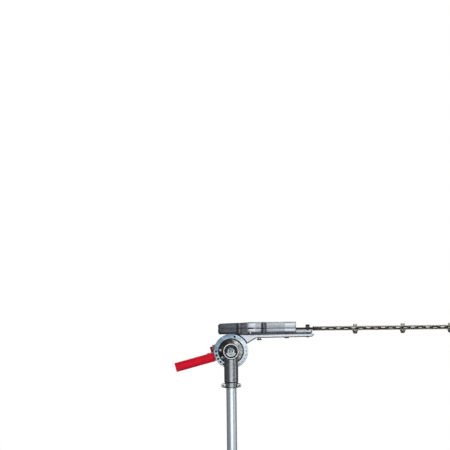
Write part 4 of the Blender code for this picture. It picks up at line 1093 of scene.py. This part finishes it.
def make_world():
    """White backdrop for the camera; reflections see a dark room that is lighter to the right."""
    world = bpy.data.worlds.new("studio")
    bpy.context.scene.world = world
    world.use_nodes = True
    tree = world.node_tree
    room = tree.nodes["Background"]
    place = tree.nodes.new("ShaderNodeTexCoord")
    split = tree.nodes.new("ShaderNodeSeparateXYZ")
    tree.links.new(place.outputs["Generated"], split.inputs[0])
    across = tree.nodes.new("ShaderNodeValToRGB")
    shades = ((0, 0.13), (0.42, 0.16), (0.52, 0.3), (0.68, 0.5), (0.84, 0.3), (1, 0.13))
    tint = (0.9, 0.97, 1.05)
    for position, _ in shades[2:]:
        across.color_ramp.elements.new(position)
    for element, (position, shade) in zip(across.color_ramp.elements, shades):
        element.position = position
        element.color = (*(shade * part for part in tint), 1)
    tree.links.new(map_range(tree, split.outputs["X"], 0, 1, -1, 1), across.inputs["Fac"])
    upwards = map_range(tree, split.outputs["Z"], 0.25, 1, -0.5, 0.1)
    behind = map_range(tree, split.outputs["Y"], 1, 0.4, 0.2, 0.9)
    strength = tree.nodes.new("ShaderNodeMath")
    strength.operation = "MULTIPLY"
    tree.links.new(upwards, strength.inputs[0])
    tree.links.new(behind, strength.inputs[1])
    tree.links.new(across.outputs["Color"], room.inputs["Color"])
    tree.links.new(strength.outputs["Value"], room.inputs["Strength"])
    backdrop = tree.nodes.new("ShaderNodeBackground")
    backdrop.inputs["Color"].default_value = (1, 1, 1, 1)
    path = tree.nodes.new("ShaderNodeLightPath")
    mixer = tree.nodes.new("ShaderNodeMixShader")
    tree.links.new(path.outputs["Is Camera Ray"], mixer.inputs["Fac"])
    tree.links.new(room.outputs["Background"], mixer.inputs[1])
    tree.links.new(backdrop.outputs["Background"], mixer.inputs[2])
    tree.links.new(mixer.outputs["Shader"], tree.nodes["World Output"].inputs["Surface"])


def make_fill(name, turn, strength):
    """Broad soft light for paint and plastic only, which metal doesn't mirror."""
    light = bpy.data.lights.new(name, "SUN")
    light.energy = strength
    light.angle = radians(45)
    made = bpy.data.objects.new(name, light)
    bpy.context.collection.objects.link(made)
    made.rotation_euler = turn
    made.visible_glossy = False


def make_panel(name, at, target, size, power):
    """Soft rectangular light that faces a target point."""
    light = bpy.data.lights.new(name, "AREA")
    light.shape = "RECTANGLE"
    light.size, light.size_y = size
    light.energy = power
    made = bpy.data.objects.new(name, light)
    bpy.context.collection.objects.link(made)
    made.location = at
    made.rotation_euler = (Vector(target) - Vector(at)).to_track_quat("-Z", "Y").to_euler()


def make_studio():
    make_world()
    centre = (0.2, 0.06, 0.7)
    make_panel("front_panel", (0.12, -2.2, 0.95), centre, (2.1, 1.2), 12.5)
    make_panel("key_panel", (1.25, -0.95, 2.5), centre, (0.9, 0.9), 4)
    make_panel("top_panel", (0.3, 0.5, 2.6), centre, (1.6, 1.2), 3)
    make_panel("right_panel", (2.3, -0.75, 0.8), centre, (0.8, 1), 3)
    make_panel("back_panel", (0.2, 1.9, 2.5), centre, (1.8, 1.2), 8)
    make_fill("front_fill", (radians(72), 0, radians(8)), 1.9)
    make_fill("back_fill", (radians(-65), 0, 0), 1.1)
    floor = slab(rectangle(-4, -4, 4, 4, 0.5), [(-0.03, 0), (-0.0125, 0)])
    floor.name = "floor"
    nodes = Nodes("floor_paper")
    nodes.shader.inputs["Roughness"].default_value = 0.9
    tone = nodes.mix(nodes.span(nodes.noise(300), 0, 1), (0.8, 0.8, 0.8), (0.84, 0.84, 0.84))
    nodes.link(tone, nodes.shader.inputs["Base Color"])
    floor.data.materials.append(nodes.material)
    floor.visible_glossy = False


VIEW_WIDTH = 1.0575  # metres across the picture at the object
VIEW_DISTANCE = 30
VIEW_ROLL = radians(0.65)
VIEW_CENTRE = (-0.0107, 0.297)  # from the pivot, along x and z


def make_camera():
    """Long lens from straight ahead, rolled a little."""
    data = bpy.data.cameras.new("camera")
    data.lens = data.sensor_width * VIEW_DISTANCE / VIEW_WIDTH
    data.clip_end = 100
    camera = bpy.data.objects.new("camera", data)
    bpy.context.collection.objects.link(camera)
    camera.location = (PIVOT.x + VIEW_CENTRE[0], -VIEW_DISTANCE, PIVOT.z + VIEW_CENTRE[1])
    turn = Matrix.Rotation(VIEW_ROLL, 4, "Y") @ Euler((pi / 2, 0, 0)).to_matrix().to_4x4()
    camera.rotation_euler = turn.to_euler()
    bpy.context.scene.camera = camera


def main():
    make_pole()
    make_neck()
    make_neck_screws()
    make_index_plate()
    make_boss_front()
    make_bracket()
    make_lower_case()
    make_upper_cover()
    make_case_fittings()
    make_blades()
    make_guide_bars()
    make_bar_bolts()
    make_handle()
    make_lock()
    finish_kept_nodes()
    make_studio()
    make_camera()
    bpy.context.scene.view_settings.view_transform = "Standard"


main()
